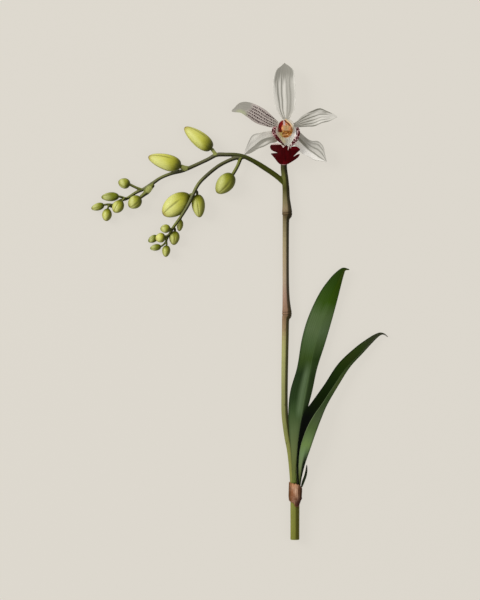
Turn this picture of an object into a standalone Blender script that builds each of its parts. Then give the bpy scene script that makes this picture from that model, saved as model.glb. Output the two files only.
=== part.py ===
"""Cymbidium orchid: one cut flowering stem, laid on its back on a flat surface.

The plant lies with its cut end at -Y, its flower near +Y and its face turned up, to +Z.
A place in the plane is a point on a plan grid whose steps are GRID metres: x to the
right, y down the plant, as drawn from above. A height or a radius is in millimetres.
Every outline is a short table of stations, and a smooth curve runs through them.
"""

from math import cos, log, pi, sin

import bmesh
import bpy
import numpy as np
from mathutils import Vector

# Driving dimensions, in metres
PETAL_SPAN = 0.0790
LEAF_THICKNESS = 0.0009
TEPAL_THICKNESS = 0.0008
LIP_THICKNESS = 0.0008
SHEATH_THICKNESS = 0.0006
SEAT_GAP = 0.0003

# The plan grid: the petals' tips on it give its step, and its middle is the origin
LEFT_PETAL_TIP_X = 231.7
RIGHT_PETAL_TIP_X = 337.0
GRID = PETAL_SPAN / (RIGHT_PETAL_TIP_X - LEFT_PETAL_TIP_X)
MIDDLE_X = 239.8
MIDDLE_Y = 301.7
MM = 0.001

# Colours, red green blue in linear light, with roughness
STEM_GREEN = (0.16, 0.19, 0.06, 0.45)
LEAF_GREEN = (0.03, 0.09, 0.02, 0.4)
BUD_GREEN = (0.52, 0.55, 0.12, 0.35)
TEPAL_WHITE = (0.78, 0.76, 0.70, 0.5)
LIP_MAROON = (0.10, 0.004, 0.015, 0.4)
COLUMN_ORANGE = (0.62, 0.25, 0.08, 0.4)
ANTHER_TAN = (0.60, 0.42, 0.16, 0.5)
SHEATH_BROWN = (0.33, 0.17, 0.09, 0.8)

# Main stem: plan x, plan y, height of its axis, radius. Two ringed joints swell it.
STEM_AXIS = (
    (294.85, 540, 4.9, 3.26), (294.9, 524, 4.9, 3.26), (294.9, 508, 4.9, 3.3),
    (294.9, 496, 4.9, 3.2), (294.2, 487, 4.9, 3.0), (293.8, 480, 4.8, 2.88),
    (293.0, 470, 4.6, 2.85),
    (292.1, 461, 4.4, 2.8), (290.4, 449.5, 4.1, 2.6), (287.8, 437, 3.8, 2.5),
    (285.6, 422, 3.5, 2.42), (284.7, 411, 3.3, 2.4), (284.55, 395, 3.1, 2.3),
    (284.75, 369, 3.1, 2.42), (285.3, 338, 3.2, 2.5), (285.7, 319, 3.4, 2.62),
    (286.7, 315.5, 3.6, 3.45), (286.9, 312.5, 3.6, 3.5), (286.6, 307, 3.6, 3.05),
    (286.1, 298, 3.5, 2.6), (285.8, 282, 3.4, 2.33), (285.75, 250, 3.4, 2.29),
    (285.9, 222, 3.5, 2.35), (286.2, 218, 3.55, 2.65), (287.0, 215, 3.6, 3.62),
    (287.1, 212, 3.6, 3.66), (286.8, 206, 3.6, 3.2), (286.2, 198, 3.6, 2.7),
    (285.9, 188, 3.6, 2.5), (285.0, 178, 3.7, 2.4), (283.9, 168, 3.9, 2.3),
    (284.0, 158, 4.5, 2.2), (284.5, 148, 5.6, 2.3), (285.1, 139, 6.8, 2.6),
    (285.5, 132, 7.8, 2.8),
)
STEM_SIDES = 12

# Arching branch and the upper twig that it runs on into
UPPER_TWIG = (
    (286.0, 191, 3.6, 1.7), (284.6, 184, 3.7, 1.75), (281.0, 179.8, 3.9, 1.84),
    (273.9, 174, 4.4, 1.84), (262.4, 166.4, 5.1, 1.8), (253.8, 161.2, 5.7, 1.6),
    (244.6, 156.8, 6.2, 1.5), (236, 154.9, 6.4, 1.42), (226.5, 154.6, 6.3, 1.4),
    (216.6, 154.9, 6.1, 1.5), (208, 159.3, 5.6, 1.35), (197.5, 164.2, 5.0, 1.3),
    (188.5, 168.2, 4.6, 1.35), (181.8, 170.9, 4.2, 1.25), (171.4, 173.4, 3.8, 1.2),
    (160.9, 177.6, 3.6, 1.15), (152.8, 183.0, 3.6, 1.25), (143.7, 188.9, 3.6, 1.15),
    (136, 192.4, 3.5, 1.1), (126.8, 198.4, 2.9, 1.05), (120.7, 200.1, 2.1, 0.95),
    (115.6, 202.7, 1.8, 0.9), (110, 207.2, 1.9, 0.8),
)
# Lower twig, from the fork, over the largest bud and down to the lower cluster
LOWER_TWIG = (
    (243.5, 157.4, 6.1, 1.3), (238.3, 157.8, 6.3, 1.35), (233.7, 158.7, 6.8, 1.35),
    (225.1, 162.4, 7.8, 1.3), (216.5, 167.6, 8.9, 1.3), (205, 177.3, 10.1, 1.3),
    (198.1, 185, 10.9, 1.25), (192.8, 195.5, 11.4, 1.25), (188.1, 205.6, 11.4, 1.2),
    (180.6, 217.5, 9.6, 1.1), (174.6, 225.7, 8.0, 1.05), (172.2, 229.5, 7.4, 1.0),
    (169.0, 235, 6.5, 0.9), (166.7, 239, 5.6, 0.85), (166.0, 242.4, 4.8, 0.8),
)
TWIG_SIDES = 8
STALK_SIDES = 6
STALK_APPROACH = 0.0014
STALK_TAPER = 0.75

# The knob at the end of the flower's stalk, which sepals, petals, lip and column sit on
KNOB_CENTRE = (285.5, 129.0, 8.0)
KNOB_RADIUS = 3.2

# Buds: tip and base (plan x, plan y, height), widest radius, thickness as a share of the
# width, where along it is widest, the stalk's points from inside the twig, some with a
# radius of their own, and the stalk's radius
BUDS = {
    "bud_b1": ((184.6, 127.6, 8.8), (211.6, 148.9, 7.6), 5.85, 0.97, 0.37,
               ((216.9, 156.4, 6.0), (214.3, 152.4, 6.8)), 1.2),
    "bud_b2": ((148.4, 157.0, 8.6), (180.7, 166.6, 7.4), 6.1, 0.97, 0.37,
               ((187.0, 168.4, 4.7), (184.7, 167.8, 6.1)), 1.6),
    "bud_c1": ((217.0, 193.0, 7.0), (232.9, 174.3, 7.0), 6.4, 0.97, 0.45,
               ((240.8, 157.9, 6.4), (237.6, 166.0, 6.6)), 1.2),
    "bud_s1": ((118.2, 181.6, 4.7), (130.0, 184.6, 4.7), 3.95, 1.0, 0.44,
               ((142.5, 190.0, 3.7), (136.2, 187.6, 4.3)), 0.9),
    "bud_s2": ((101.3, 197.3, 5.2), (119.0, 196.4, 4.8), 3.4, 1.0, 0.44,
               ((126.2, 199.0, 2.9), (122.6, 197.4, 4.0)), 0.8),
    "bud_s3": ((91.2, 208.6, 3.6), (104.0, 204.8, 3.4), 2.85, 1.0, 0.44,
               ((112.5, 204.8, 1.9), (108.4, 204.2, 2.7)), 0.7),
    "bud_s4": ((105.9, 221.0, 4.2), (107.7, 208.3, 3.9), 3.7, 1.0, 0.5,
               ((111.6, 205.4, 1.9), (109.0, 205.6, 2.8)), 0.7),
    "bud_s5": ((114.3, 212.4, 7.5), (122.2, 200.9, 7.1), 4.35, 1.0, 0.5,
               ((126.0, 198.6, 3.0), (124.8, 198.4, 5.6)), 0.8),
    "bud_s6": ((128.9, 206.9, 6.6), (140.6, 197.3, 6.0), 4.85, 1.0, 0.47,
               ((153.4, 184.4, 3.8, 1.2), (150.4, 187.6, 4.2, 1.85), (147.2, 191.4, 4.8, 2.05),
                (144.0, 194.4, 5.4, 1.5)), 1.2),
    "bud_d1": ((163.1, 214.8, 6.2), (189.9, 195.0, 6.2), 8.0, 0.77, 0.49,
               ((192.6, 195.0, 11.2), (192.6, 194.4, 8.8)), 1.0),
    "bud_d2": ((199.8, 217.4, 6.6), (197.3, 194.5, 7.4), 5.0, 1.0, 0.42,
               ((193.6, 192.6, 11.0), (196.6, 191.4, 8.8)), 0.9),
    "bud_d3": ((179.1, 231.2, 4.0), (180.6, 219.6, 4.6), 2.4, 1.0, 0.44,
               ((180.6, 217.6, 9.2), (180.9, 217.2, 6.8)), 0.7),
    "bud_d4": ((160.4, 229.0, 9.4), (170.6, 228.7, 9.3), 3.25, 1.0, 0.46,
               ((173.2, 228.6, 7.6), (172.6, 229.2, 8.5)), 0.7),
    "bud_d5": ((173.6, 245.0, 4.2), (174.9, 230.9, 4.3), 3.95, 1.0, 0.44,
               ((172.6, 229.0, 7.2), (174.7, 228.6, 5.6)), 0.8),
    "bud_d6": ((155.5, 239.2, 8.2), (165.4, 236.4, 7.8), 3.65, 1.0, 0.44,
               ((168.9, 235.0, 6.5), (167.6, 235.6, 7.5)), 0.7),
    "bud_d7": ((148.2, 241.6, 3.2), (157.6, 236.4, 3.0), 2.75, 1.0, 0.44,
               ((166.9, 238.6, 5.6), (162.4, 236.4, 3.2)), 0.65),
    "bud_d8": ((150.0, 248.4, 3.2), (161.0, 246.3, 2.9), 2.5, 1.0, 0.44,
               ((166.1, 241.4, 4.8), (164.2, 243.8, 2.9)), 0.65),
    "bud_d9": ((165.6, 256.9, 4.8), (166.7, 245.3, 5.0), 3.1, 1.0, 0.44,
               ((166.1, 241.4, 5.0), (166.5, 243.0, 5.1)), 0.7),
}
BUD_FULLNESS = 0.5
BUD_RIDGE = 0.025
LARGE_BUD_RADIUS = 4.5
LARGE_BUD_SIDES, LARGE_BUD_RINGS = 15, 9
SMALL_BUD_SIDES, SMALL_BUD_RINGS = 9, 6

# Blades: stations from base to tip, each with one edge, the midrib and the other edge,
# as plan x, plan y and height
LEAF_TALL = (
    ((292.4, 482.6, 8.35), (294.5, 482.7, 8.6), (296.1, 482.6, 8.15)),
    ((292.1, 475, 8.2), (294.7, 475, 8.4), (296.4, 475, 7.7)),
    ((291.8, 467, 8.2), (295.2, 467, 8.4), (296.9, 467, 7.0)),
    ((290.7, 450, 7.9), (297.2, 449, 9.0), (300.4, 449, 7.4)),
    ((288.9, 430, 7.0), (299.4, 429, 8.8), (303.4, 430, 6.5)),
    ((288.4, 409, 5.6), (302.0, 409, 8.7), (307.4, 410, 6.2)),
    ((290.6, 390, 4.2), (305.4, 391, 8.2), (312.3, 391, 5.6)),
    ((297.2, 367, 3.5), (310.2, 368, 7.8), (317.3, 368, 5.0)),
    ((301.9, 339, 3.4), (315.8, 342, 7.5), (325.2, 343.3, 4.6)),
    ((308.7, 316, 3.6), (322.6, 320, 7.2), (332.3, 319, 4.5)),
    ((319.6, 293, 4.0), (330.6, 298, 6.9), (338.2, 297, 4.6)),
    ((330.5, 277.8, 4.6), (337.6, 282.5, 6.4), (342.2, 281, 4.9)),
    ((338.6, 270.0, 5.0), (342.0, 273.2, 5.9), (344.2, 274.0, 5.1)),
    ((343.6, 267.6, 5.2), (344.8, 269.0, 5.5), (345.6, 270.6, 5.2)),
    ((349.3, 269.1, 5.0), (349.5, 269.5, 5.0), (349.3, 270.0, 5.0)),
)
LEAF_LOW = (
    ((298.2, 485.6, 7.3), (299.1, 485.8, 6.7), (300.5, 485.6, 6.9)),
    ((297.3, 476, 8.8), (298.5, 476, 7.9), (302.0, 476, 8.3)),
    ((297.0, 462, 9.9), (298.6, 462, 8.8), (305.3, 463, 9.6)),
    ((297.6, 446, 11.2), (300.6, 446, 9.6), (310.6, 447.5, 11.0)),
    ((299.9, 427, 11.4), (306.8, 428.5, 8.4), (316.0, 432, 10.6)),
    ((303.4, 413.5, 10.6), (314.0, 415.5, 6.8), (321.6, 417.5, 9.8)),
    ((312.4, 401, 9.0), (321.8, 404.5, 5.2), (327.2, 404.6, 8.2)),
    ((324.1, 384.7, 7.8), (331.6, 389.5, 4.6), (336.9, 387.8, 7.2)),
    ((337.9, 364, 6.6), (345.2, 369.4, 4.0), (350.2, 366.7, 6.2)),
    ((354.0, 348.6, 5.4), (359.6, 353.8, 3.4), (363.4, 352.3, 5.2)),
    ((367.9, 338.4, 4.2), (371.2, 341.6, 3.0), (372.7, 342.4, 4.1)),
    ((378.0, 333.0, 3.2), (379.2, 334.6, 2.7), (379.9, 335.8, 3.1)),
    ((383.8, 333.2, 2.8), (384.0, 333.9, 2.6), (384.0, 334.8, 2.8)),
    ((388.0, 336.5, 2.4), (388.1, 336.8, 2.4), (387.8, 337.1, 2.4)),
)
BRACT_LEAF = (
    ((300.8, 487.0, 4.9), (301.6, 487.1, 5.0), (302.4, 487.1, 4.8)),
    ((302.2, 481.0, 5.4), (303.3, 481.3, 6.2), (305.0, 480.6, 5.2)),
    ((304.2, 475.8, 5.9), (305.2, 476.0, 6.8), (306.7, 475.4, 5.7)),
    ((305.5, 470.8, 6.1), (306.3, 471.0, 6.8), (307.3, 470.8, 6.0)),
    ((306.2, 467.0, 6.2), (306.7, 467.0, 6.6), (307.1, 467.0, 6.2)),
    ((306.5, 464.9, 6.3), (306.8, 464.7, 6.3), (307.0, 465.0, 6.3)),
)
DORSAL_SEPAL = (
    ((283.7, 124.3, 8.0), (285.5, 124.3, 7.8), (287.3, 124.3, 8.0)),
    ((281.9, 119.0, 8.8), (285.6, 119.0, 8.2), (289.3, 119.0, 8.8)),
    ((276.4, 110.0, 10.2), (285.2, 110.0, 8.8), (294.6, 110.0, 10.2)),
    ((273.7, 98.0, 11.0), (284.9, 98.0, 9.3), (295.4, 98.0, 11.0)),
    ((272.8, 86.0, 10.8), (284.5, 86.0, 9.2), (295.2, 86.0, 10.8)),
    ((274.1, 76.0, 10.1), (284.4, 76.0, 8.8), (294.3, 76.0, 10.1)),
    ((276.0, 70.0, 9.4), (284.5, 69.6, 8.5), (293.3, 70.4, 9.4)),
    ((279.9, 67.0, 8.9), (284.5, 65.8, 8.3), (290.2, 67.0, 8.9)),
    ((284.1, 63.5, 8.2), (284.5, 63.2, 8.1), (284.9, 63.5, 8.2)),
)
LEFT_PETAL = (
    ((281.5, 125.6, 9.6), (281.4, 126.9, 9.5), (281.4, 128.2, 9.6)),
    ((277.2, 121.2, 10.6), (275.6, 124.5, 10.2), (274.6, 128.0, 10.5)),
    ((270.5, 114.7, 11.8), (267.6, 120.8, 10.8), (265.7, 126.8, 11.4)),
    ((262.2, 108.3, 12.6), (258.6, 115.6, 11.4), (256.4, 123.6, 12.0)),
    ((253.9, 104.3, 12.7), (250.4, 111.2, 11.6), (248.0, 118.2, 12.2)),
    ((245.6, 102.3, 12.2), (243.0, 108.4, 11.4), (241.3, 113.4, 12.0)),
    ((239.2, 103.5, 11.4), (238.1, 108.3, 10.9), (237.5, 112.7, 11.4)),
    ((234.5, 107.9, 10.6), (234.0, 110.3, 10.4), (233.7, 112.5, 10.6)),
    ((231.8, 110.4, 10.0), (231.7, 111.1, 10.0), (231.8, 111.8, 10.0)),
)
RIGHT_PETAL = (
    ((289.5, 125.6, 9.6), (289.6, 126.9, 9.5), (289.6, 128.2, 9.6)),
    ((296.0, 121.8, 10.6), (296.9, 124.8, 10.2), (297.4, 127.4, 10.5)),
    ((302.4, 116.2, 11.6), (304.5, 121.9, 10.6), (306.4, 127.4, 11.4)),
    ((311.2, 111.4, 12.4), (313.0, 119.6, 11.2), (314.4, 126.4, 12.2)),
    ((319.2, 109.0, 12.6), (320.9, 116.9, 11.4), (322.2, 123.8, 12.4)),
    ((326.2, 111.1, 12.2), (328.0, 116.8, 11.2), (328.8, 121.4, 12.0)),
    ((332.5, 113.9, 11.4), (333.0, 116.9, 10.8), (333.4, 119.4, 11.4)),
    ((336.8, 116.8, 10.4), (337.0, 117.2, 10.4), (336.8, 117.6, 10.4)),
)
LEFT_SEPAL = (
    ((280.7, 129.3, 7.9), (280.8, 130.9, 7.8), (280.8, 132.5, 8.0)),
    ((273.6, 130.6, 8.6), (274.8, 136.0, 8.0), (277.0, 141.4, 8.6)),
    ((266.4, 131.8, 9.6), (267.0, 138.0, 8.4), (269.9, 143.8, 9.4)),
    ((259.4, 133.0, 10.4), (260.2, 141.2, 8.8), (262.9, 147.0, 10.0)),
    ((252.8, 135.4, 10.8), (254.6, 146.0, 9.0), (256.2, 150.3, 10.2)),
    ((248.6, 141.2, 10.6), (250.0, 149.4, 9.2), (250.6, 152.8, 10.0)),
    ((245.9, 148.4, 10.2), (246.6, 152.4, 9.4), (247.0, 154.4, 9.8)),
    ((243.9, 154.3, 9.6), (244.0, 154.8, 9.6), (244.3, 155.1, 9.6)),
)
RIGHT_SEPAL = (
    ((290.3, 129.3, 7.9), (290.2, 130.9, 7.8), (290.2, 132.5, 8.0)),
    ((298.8, 131.4, 8.6), (296.6, 137.4, 8.0), (293.4, 142.6, 8.6)),
    ((304.6, 137.0, 9.6), (302.6, 143.6, 8.4), (298.8, 150.6, 9.2)),
    ((311.4, 140.9, 10.4), (309.3, 150.0, 8.8), (304.6, 155.0, 9.8)),
    ((318.4, 141.8, 10.6), (315.6, 154.6, 9.0), (310.8, 158.4, 9.8)),
    ((323.2, 146.8, 10.2), (320.6, 158.2, 9.0), (316.6, 160.2, 9.6)),
    ((324.9, 154.4, 9.6), (323.8, 160.2, 9.0), (321.2, 161.2, 9.2)),
    ((326.6, 161.4, 8.8), (326.5, 161.9, 8.8), (326.1, 162.1, 8.8)),
)
# Side lobes of the lip, a trough that opens towards the viewer: left rim, floor, right rim
LIP_TROUGH = (
    ((283.4, 130.6, 11.7), (285.5, 131.3, 11.5), (287.6, 130.6, 11.7)),
    ((275.0, 127.4, 17.6), (285.5, 134.4, 12.2), (297.0, 127.8, 17.6)),
    ((271.8, 130.4, 20.2), (285.5, 137.2, 12.6), (299.6, 131.8, 20.2)),
    ((272.5, 135.4, 21.0), (285.8, 140.2, 13.0), (299.2, 136.8, 21.0)),
    ((275.6, 139.8, 20.2), (286.3, 143.2, 13.4), (297.5, 141.0, 20.2)),
    ((279.2, 143.0, 18.0), (286.7, 145.8, 13.7), (294.8, 144.7, 18.0)),
    ((282.6, 145.0, 15.6), (287.0, 148.0, 13.7), (291.4, 146.8, 15.6)),
)
TROUGH_POWER = 2.4
# Middle lobe of the lip: its outline round its centre, with a slit on each side
LOBE_CENTRE = (286.0, 154.0)
LOBE_OUTLINE = (
    (270.1, 146.2), (272.3, 144.3), (275.6, 143.8), (279.4, 144.4), (283.4, 145.9),
    (287.8, 147.0), (292.0, 147.0), (295.8, 146.9), (298.5, 148.2), (299.9, 150.2),
    (297.2, 153.0), (293.4, 156.9), (296.8, 155.0), (299.5, 154.4), (298.6, 157.0),
    (296.0, 159.4), (292.4, 161.8), (289.4, 163.6), (286.4, 165.0), (283.4, 165.3),
    (280.4, 164.8), (277.4, 162.5), (274.7, 158.9), (272.5, 156.3), (270.9, 154.0),
    (273.8, 153.5), (277.0, 153.2), (274.0, 151.9), (271.4, 150.4), (270.2, 148.4),
)
LOBE_HEIGHT = 15.0
LOBE_DROP = 3.4
LOBE_RADIUS = 16.5
LOBE_RINGS = 4
# Two ridges of the callus on the trough's floor: centre, and half its length each way
CALLUS_RIDGES = (
    ((283.2, 136.4, 13.6), (1.3, 2.2, 1.5)),
    ((288.2, 136.8, 13.6), (1.3, 2.2, 1.5)),
)

# Column: centre of each ring, its half width and its half depth
COLUMN_RINGS = (
    (285.5, 125.8, 11.5, 2.2, 1.8), (285.5, 125.0, 14.0, 3.3, 2.7),
    (285.5, 125.2, 16.4, 4.9, 3.7), (285.6, 125.9, 18.6, 5.9, 4.55),
    (285.6, 126.3, 20.2, 5.5, 4.25), (285.6, 126.9, 21.1, 3.7, 2.8),
)
COLUMN_SIDES = 14
ANTHER_CENTRE = (286.3, 129.5, 23.0)
ANTHER_HALF_SIZE = (3.85, 2.35, 1.4)

# Dry sheath round the foot of the leaves: plan y, x of its axis and radius down it, then
# the plan y of its two torn ends, from one side, at -1, over the front to the other, at 1
SHEATH_HEIGHT = 5.0
SHEATH_PROFILE = (
    (480.0, 295.5, 5.0), (486.0, 295.5, 5.05), (491.0, 295.4, 5.1), (496.0, 295.2, 5.05),
    (500.0, 295.1, 4.75), (503.0, 295.0, 4.4), (508.0, 294.95, 4.25),
)
SHEATH_TOP = (
    (-1.0, 482.0), (-0.5, 483.3), (0.0, 483.5), (0.5, 484.5), (0.8, 486.2), (1.0, 487.8),
)
SHEATH_FOOT = (
    (-1.0, 500.5), (-0.75, 502.0), (-0.3, 502.6), (-0.1, 505.2), (0.15, 506.8),
    (0.6, 507.0), (0.85, 504.6), (1.0, 500.2),
)
SHEATH_SIDES, SHEATH_RINGS = 24, 8

SURFACE_SIZE = 1.0
SURFACE_DEPTH = 0.05


def place(points):
    """World positions, in metres, of rows that start with plan x, plan y and height."""
    points = np.asarray(points, float)
    world = np.empty((*points.shape[:-1], 3))
    world[..., 0] = (points[..., 0] - MIDDLE_X) * GRID
    world[..., 1] = (MIDDLE_Y - points[..., 1]) * GRID
    world[..., 2] = points[..., 2] * MM
    return world


def smooth(stations, steps):
    """Catmull-Rom curve through the rows of stations, with steps rows from each to the next."""
    rows = np.asarray(stations, float)
    start, end = rows[:-1], rows[1:]
    before = np.vstack([2 * rows[:1] - rows[1:2], rows[:-2]])
    after = np.vstack([rows[2:], 2 * rows[-1:] - rows[-2:-1]])
    t = (np.arange(steps) / steps)[None, :, None]
    p0, p1, p2, p3 = (a[:, None, :] for a in (before, start, end, after))
    curve = 0.5 * (
        2 * p1
        + (p2 - p0) * t
        + (2 * p0 - 5 * p1 + 4 * p2 - p3) * t**2
        + (3 * p1 - p0 - 3 * p2 + p3) * t**3
    )
    return np.vstack([curve.reshape(-1, rows.shape[1]), rows[-1:]])


def material(name, colour):
    """Principled material with a base colour and a roughness."""
    mat = bpy.data.materials.new(name)
    mat.use_nodes = True
    shader = mat.node_tree.nodes["Principled BSDF"]
    shader.inputs["Base Color"].default_value = (*colour[:3], 1)
    shader.inputs["Roughness"].default_value = colour[3]
    return mat


def add_object(name, mesh):
    """Link an object that holds the mesh, shaded smooth."""
    mesh.shade_smooth()
    obj = bpy.data.objects.new(name, mesh)
    bpy.context.scene.collection.objects.link(obj)
    return obj


def mesh_object(name, points, faces):
    """Object from world points and faces."""
    mesh = bpy.data.meshes.new(name)
    mesh.from_pydata(points.tolist(), [], faces)
    return add_object(name, mesh)


def drop(objects):
    """Remove helper objects from the file."""
    for obj in objects:
        bpy.data.objects.remove(obj)


def applied(obj):
    """Mesh of the object as its modifiers make it."""
    graph = bpy.context.evaluated_depsgraph_get()
    return bpy.data.meshes.new_from_object(obj.evaluated_get(graph))


def tidy(mesh):
    """Merge the vertices that lie on one another, and turn every face outwards."""
    bm = bmesh.new()
    bm.from_mesh(mesh)
    bmesh.ops.remove_doubles(bm, verts=bm.verts, dist=SEAT_GAP / 100)
    bmesh.ops.recalc_face_normals(bm, faces=bm.faces)
    bm.to_mesh(mesh)
    bm.free()


def tube(name, points, steps, sides):
    """Round tube through points (plan x, plan y, height, radius), its ends capped."""
    rows = smooth(points, steps)
    curve = bpy.data.curves.new(name, "CURVE")
    curve.dimensions = "3D"
    curve.bevel_depth = MM
    curve.bevel_resolution = sides // 2 - 2
    curve.render_resolution_u = 0
    curve.use_fill_caps = True
    spline = curve.splines.new("POLY")
    spline.points.add(len(rows) - 1)
    for point, (x, y, z), radius in zip(spline.points, place(rows), rows[:, 3]):
        point.co = (x, y, z, 1)
        point.radius = radius
    helper = bpy.data.objects.new(name, curve)
    bpy.context.scene.collection.objects.link(helper)
    mesh = applied(helper)
    drop([helper])
    tidy(mesh)
    return add_object(name, mesh)


def ball(name, centre, half_size, sides=12):
    """Egg round a centre (plan x, plan y, height), with its half sizes in millimetres."""
    bm = bmesh.new()
    bmesh.ops.create_uvsphere(bm, u_segments=sides, v_segments=sides // 2 + 1, radius=1.0)
    bmesh.ops.scale(bm, verts=bm.verts, vec=Vector(half_size) * MM)
    mesh = bpy.data.meshes.new(name)
    bm.to_mesh(mesh)
    bm.free()
    obj = add_object(name, mesh)
    obj.location = place(centre)
    return obj


def fuse(name, first, others, solver="EXACT"):
    """One body from overlapping objects, by a Boolean union, with the helpers removed."""
    group = bpy.data.collections.new(name)
    bpy.context.scene.collection.children.link(group)
    for obj in others:
        group.objects.link(obj)
    union = first.modifiers.new("union", "BOOLEAN")
    union.operation = "UNION"
    union.solver = solver
    union.operand_type = "COLLECTION"
    union.collection = group
    mesh = applied(first)
    drop([first, *others])
    bpy.data.collections.remove(group)
    return add_object(name, mesh)


def press_flat(obj, surface):
    """Cut off what reaches below the surface, which leaves a small flat spot to rest on."""
    cut = obj.modifiers.new("rest", "BOOLEAN")
    cut.operation = "DIFFERENCE"
    cut.object = surface


def surface_cutter():
    """Block below the surface that the plant lies on, used only to cut flat spots."""
    bm = bmesh.new()
    bmesh.ops.create_cube(bm, size=1.0)
    bmesh.ops.scale(bm, verts=bm.verts, vec=(SURFACE_SIZE, SURFACE_SIZE, SURFACE_DEPTH))
    mesh = bpy.data.meshes.new("surface_cutter")
    bm.to_mesh(mesh)
    bm.free()
    cutter = add_object("surface_cutter", mesh)
    cutter.location.z = -SURFACE_DEPTH / 2
    cutter.display_type = "WIRE"
    cutter.hide_render = True
    return cutter


def grid_triangles(rows, columns):
    """Triangles of a grid of points, stored row by row."""
    faces = []
    for i in range(rows - 1):
        for j in range(columns - 1):
            a = i * columns + j
            b, c, d = a + 1, a + columns + 1, a + columns
            faces += [(a, b, c), (a, c, d)]
    return faces


def across(stations, steps, columns, power):
    """Grid of plan points: rows run from base to tip, columns from one edge to the other.

    Between the edges, at v from -1 to 1, a point is the midrib, plus half the span times v,
    plus the rise of the edges over the midrib times v to the given power.
    """
    rows = smooth([np.ravel(station) for station in stations], steps)
    one, mid, other = rows[:, None, 0:3], rows[:, None, 3:6], rows[:, None, 6:9]
    v = np.linspace(-1, 1, columns)[None, :, None]
    return mid + (other - one) / 2 * v + ((one + other) / 2 - mid) * np.abs(v) ** power


def blade(name, stations, thickness, steps=2, columns=7, power=2.0):
    """Thin leaf, sepal or petal: a triangulated grid given a thickness by Solidify."""
    grid = across(stations, steps, columns, power)
    obj = mesh_object(name, place(grid).reshape(-1, 3), grid_triangles(*grid.shape[:2]))
    wall = obj.modifiers.new("thickness", "SOLIDIFY")
    wall.thickness = thickness
    wall.offset = 0.0
    return obj


def bud(name, tip, base, radius, flatness, widest):
    """Closed bud: rings from base to tip along its own +Z, three faint ridges along it.

    At t from 0 to 1 the radius is the widest one times the sine of pi t**k to the power
    BUD_FULLNESS, where k puts the widest ring at that share of the length.
    """
    large = radius >= LARGE_BUD_RADIUS
    sides = LARGE_BUD_SIDES if large else SMALL_BUD_SIDES
    rings = LARGE_BUD_RINGS if large else SMALL_BUD_RINGS
    start, end = (Vector(place(point)) for point in (base, tip))
    length = (end - start).length
    t = (1 - np.cos(pi * np.arange(1, rings) / rings)) / 2
    profile = radius * MM * np.sin(pi * t ** (log(0.5) / log(widest))) ** BUD_FULLNESS
    turn = 2 * pi * np.arange(sides) / sides
    reach = profile[:, None] * (1 + BUD_RIDGE * np.cos(3 * turn))[None, :]
    points = np.empty((rings - 1, sides, 3))
    points[..., 0] = reach * np.cos(turn)
    points[..., 1] = reach * np.sin(turn) * flatness
    points[..., 2] = (t * length)[:, None]
    points = np.vstack([(0, 0, 0), points.reshape(-1, 3), (0, 0, length)])
    last = len(points) - 1
    faces = []
    for j in range(sides):
        k = (j + 1) % sides
        faces.append((0, 1 + k, 1 + j))
        for i in range(rings - 2):
            low, high = 1 + i * sides, 1 + (i + 1) * sides
            faces.append((low + j, low + k, high + k, high + j))
        top = 1 + (rings - 2) * sides
        faces.append((top + j, top + k, last))
    obj = mesh_object(name, points, faces)
    obj.location = start
    axis = (end - start).normalized()
    side = Vector((0, 0, 1)).cross(axis).normalized()
    obj.rotation_euler = axis_turn(side, axis.cross(side), axis)
    return obj


def axis_turn(x_axis, y_axis, z_axis):
    """Euler turn that carries the three axes of an object onto the given directions."""
    rows = np.array([x_axis, y_axis, z_axis]).T
    pitch = np.arcsin(-np.clip(rows[2, 0], -1, 1))
    roll = np.arctan2(rows[2, 1], rows[2, 2])
    yaw = np.arctan2(rows[1, 0], rows[0, 0])
    return roll, pitch, yaw


def stalk(name, points, base, tip, radius):
    """Stalk of one bud, from inside its twig to a seat just short of the bud's base."""
    foot, end = Vector(base), Vector(tip)
    along = end - foot
    length = (Vector(place(tip)) - Vector(place(base))).length
    seat = foot - along * (SEAT_GAP / length)
    approach = foot - along * (STALK_APPROACH / length)
    rows = [(*point, radius)[:4] for point in (*points, approach)]
    rows.append((*seat, radius * STALK_TAPER))
    return tube(name, rows, 1, STALK_SIDES)


def build_stem():
    """Main stem, arch, twigs, the stalks of the buds and the flower's knob, as one body."""
    main = tube("main", STEM_AXIS, 1, STEM_SIDES)
    parts = [
        tube("upper", UPPER_TWIG, 1, TWIG_SIDES),
        tube("lower", LOWER_TWIG, 1, TWIG_SIDES),
        ball("knob", KNOB_CENTRE, [KNOB_RADIUS] * 3),
    ]
    for name, (tip, base, _, _, _, points, radius) in BUDS.items():
        parts.append(stalk(name + "_stalk", points, base, tip, radius))
    return fuse("stem", main, parts)


def build_middle_lobe():
    """Frilled middle lobe: rings that shrink to its centre, domed towards the viewer."""
    outline = np.array(LOBE_OUTLINE)
    centre = np.array(LOBE_CENTRE)
    share = np.arange(LOBE_RINGS, 0, -1) / LOBE_RINGS
    flat = centre + (outline - centre) * share[:, None, None]
    reach = np.linalg.norm(flat - centre, axis=-1) / LOBE_RADIUS
    rings = np.dstack([flat, LOBE_HEIGHT - LOBE_DROP * reach**2])
    points = np.vstack([rings.reshape(-1, 3), (*LOBE_CENTRE, LOBE_HEIGHT)])
    count, last = len(outline), len(points) - 1
    faces = []
    for j in range(count):
        k = (j + 1) % count
        for i in range(LOBE_RINGS - 1):
            a, b = i * count, (i + 1) * count
            faces += [(a + j, a + k, b + k), (a + j, b + k, b + j)]
        inner = (LOBE_RINGS - 1) * count
        faces.append((inner + j, inner + k, last))
    obj = mesh_object("middle_lobe", place(points), faces)
    wall = obj.modifiers.new("thickness", "SOLIDIFY")
    wall.thickness = LIP_THICKNESS
    wall.offset = 0.0
    return add_applied(obj)


def add_applied(obj):
    """The same object with its modifiers applied, ready to be fused."""
    name, mesh = obj.name, applied(obj)
    drop([obj])
    return add_object(name + "_solid", mesh)


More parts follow.
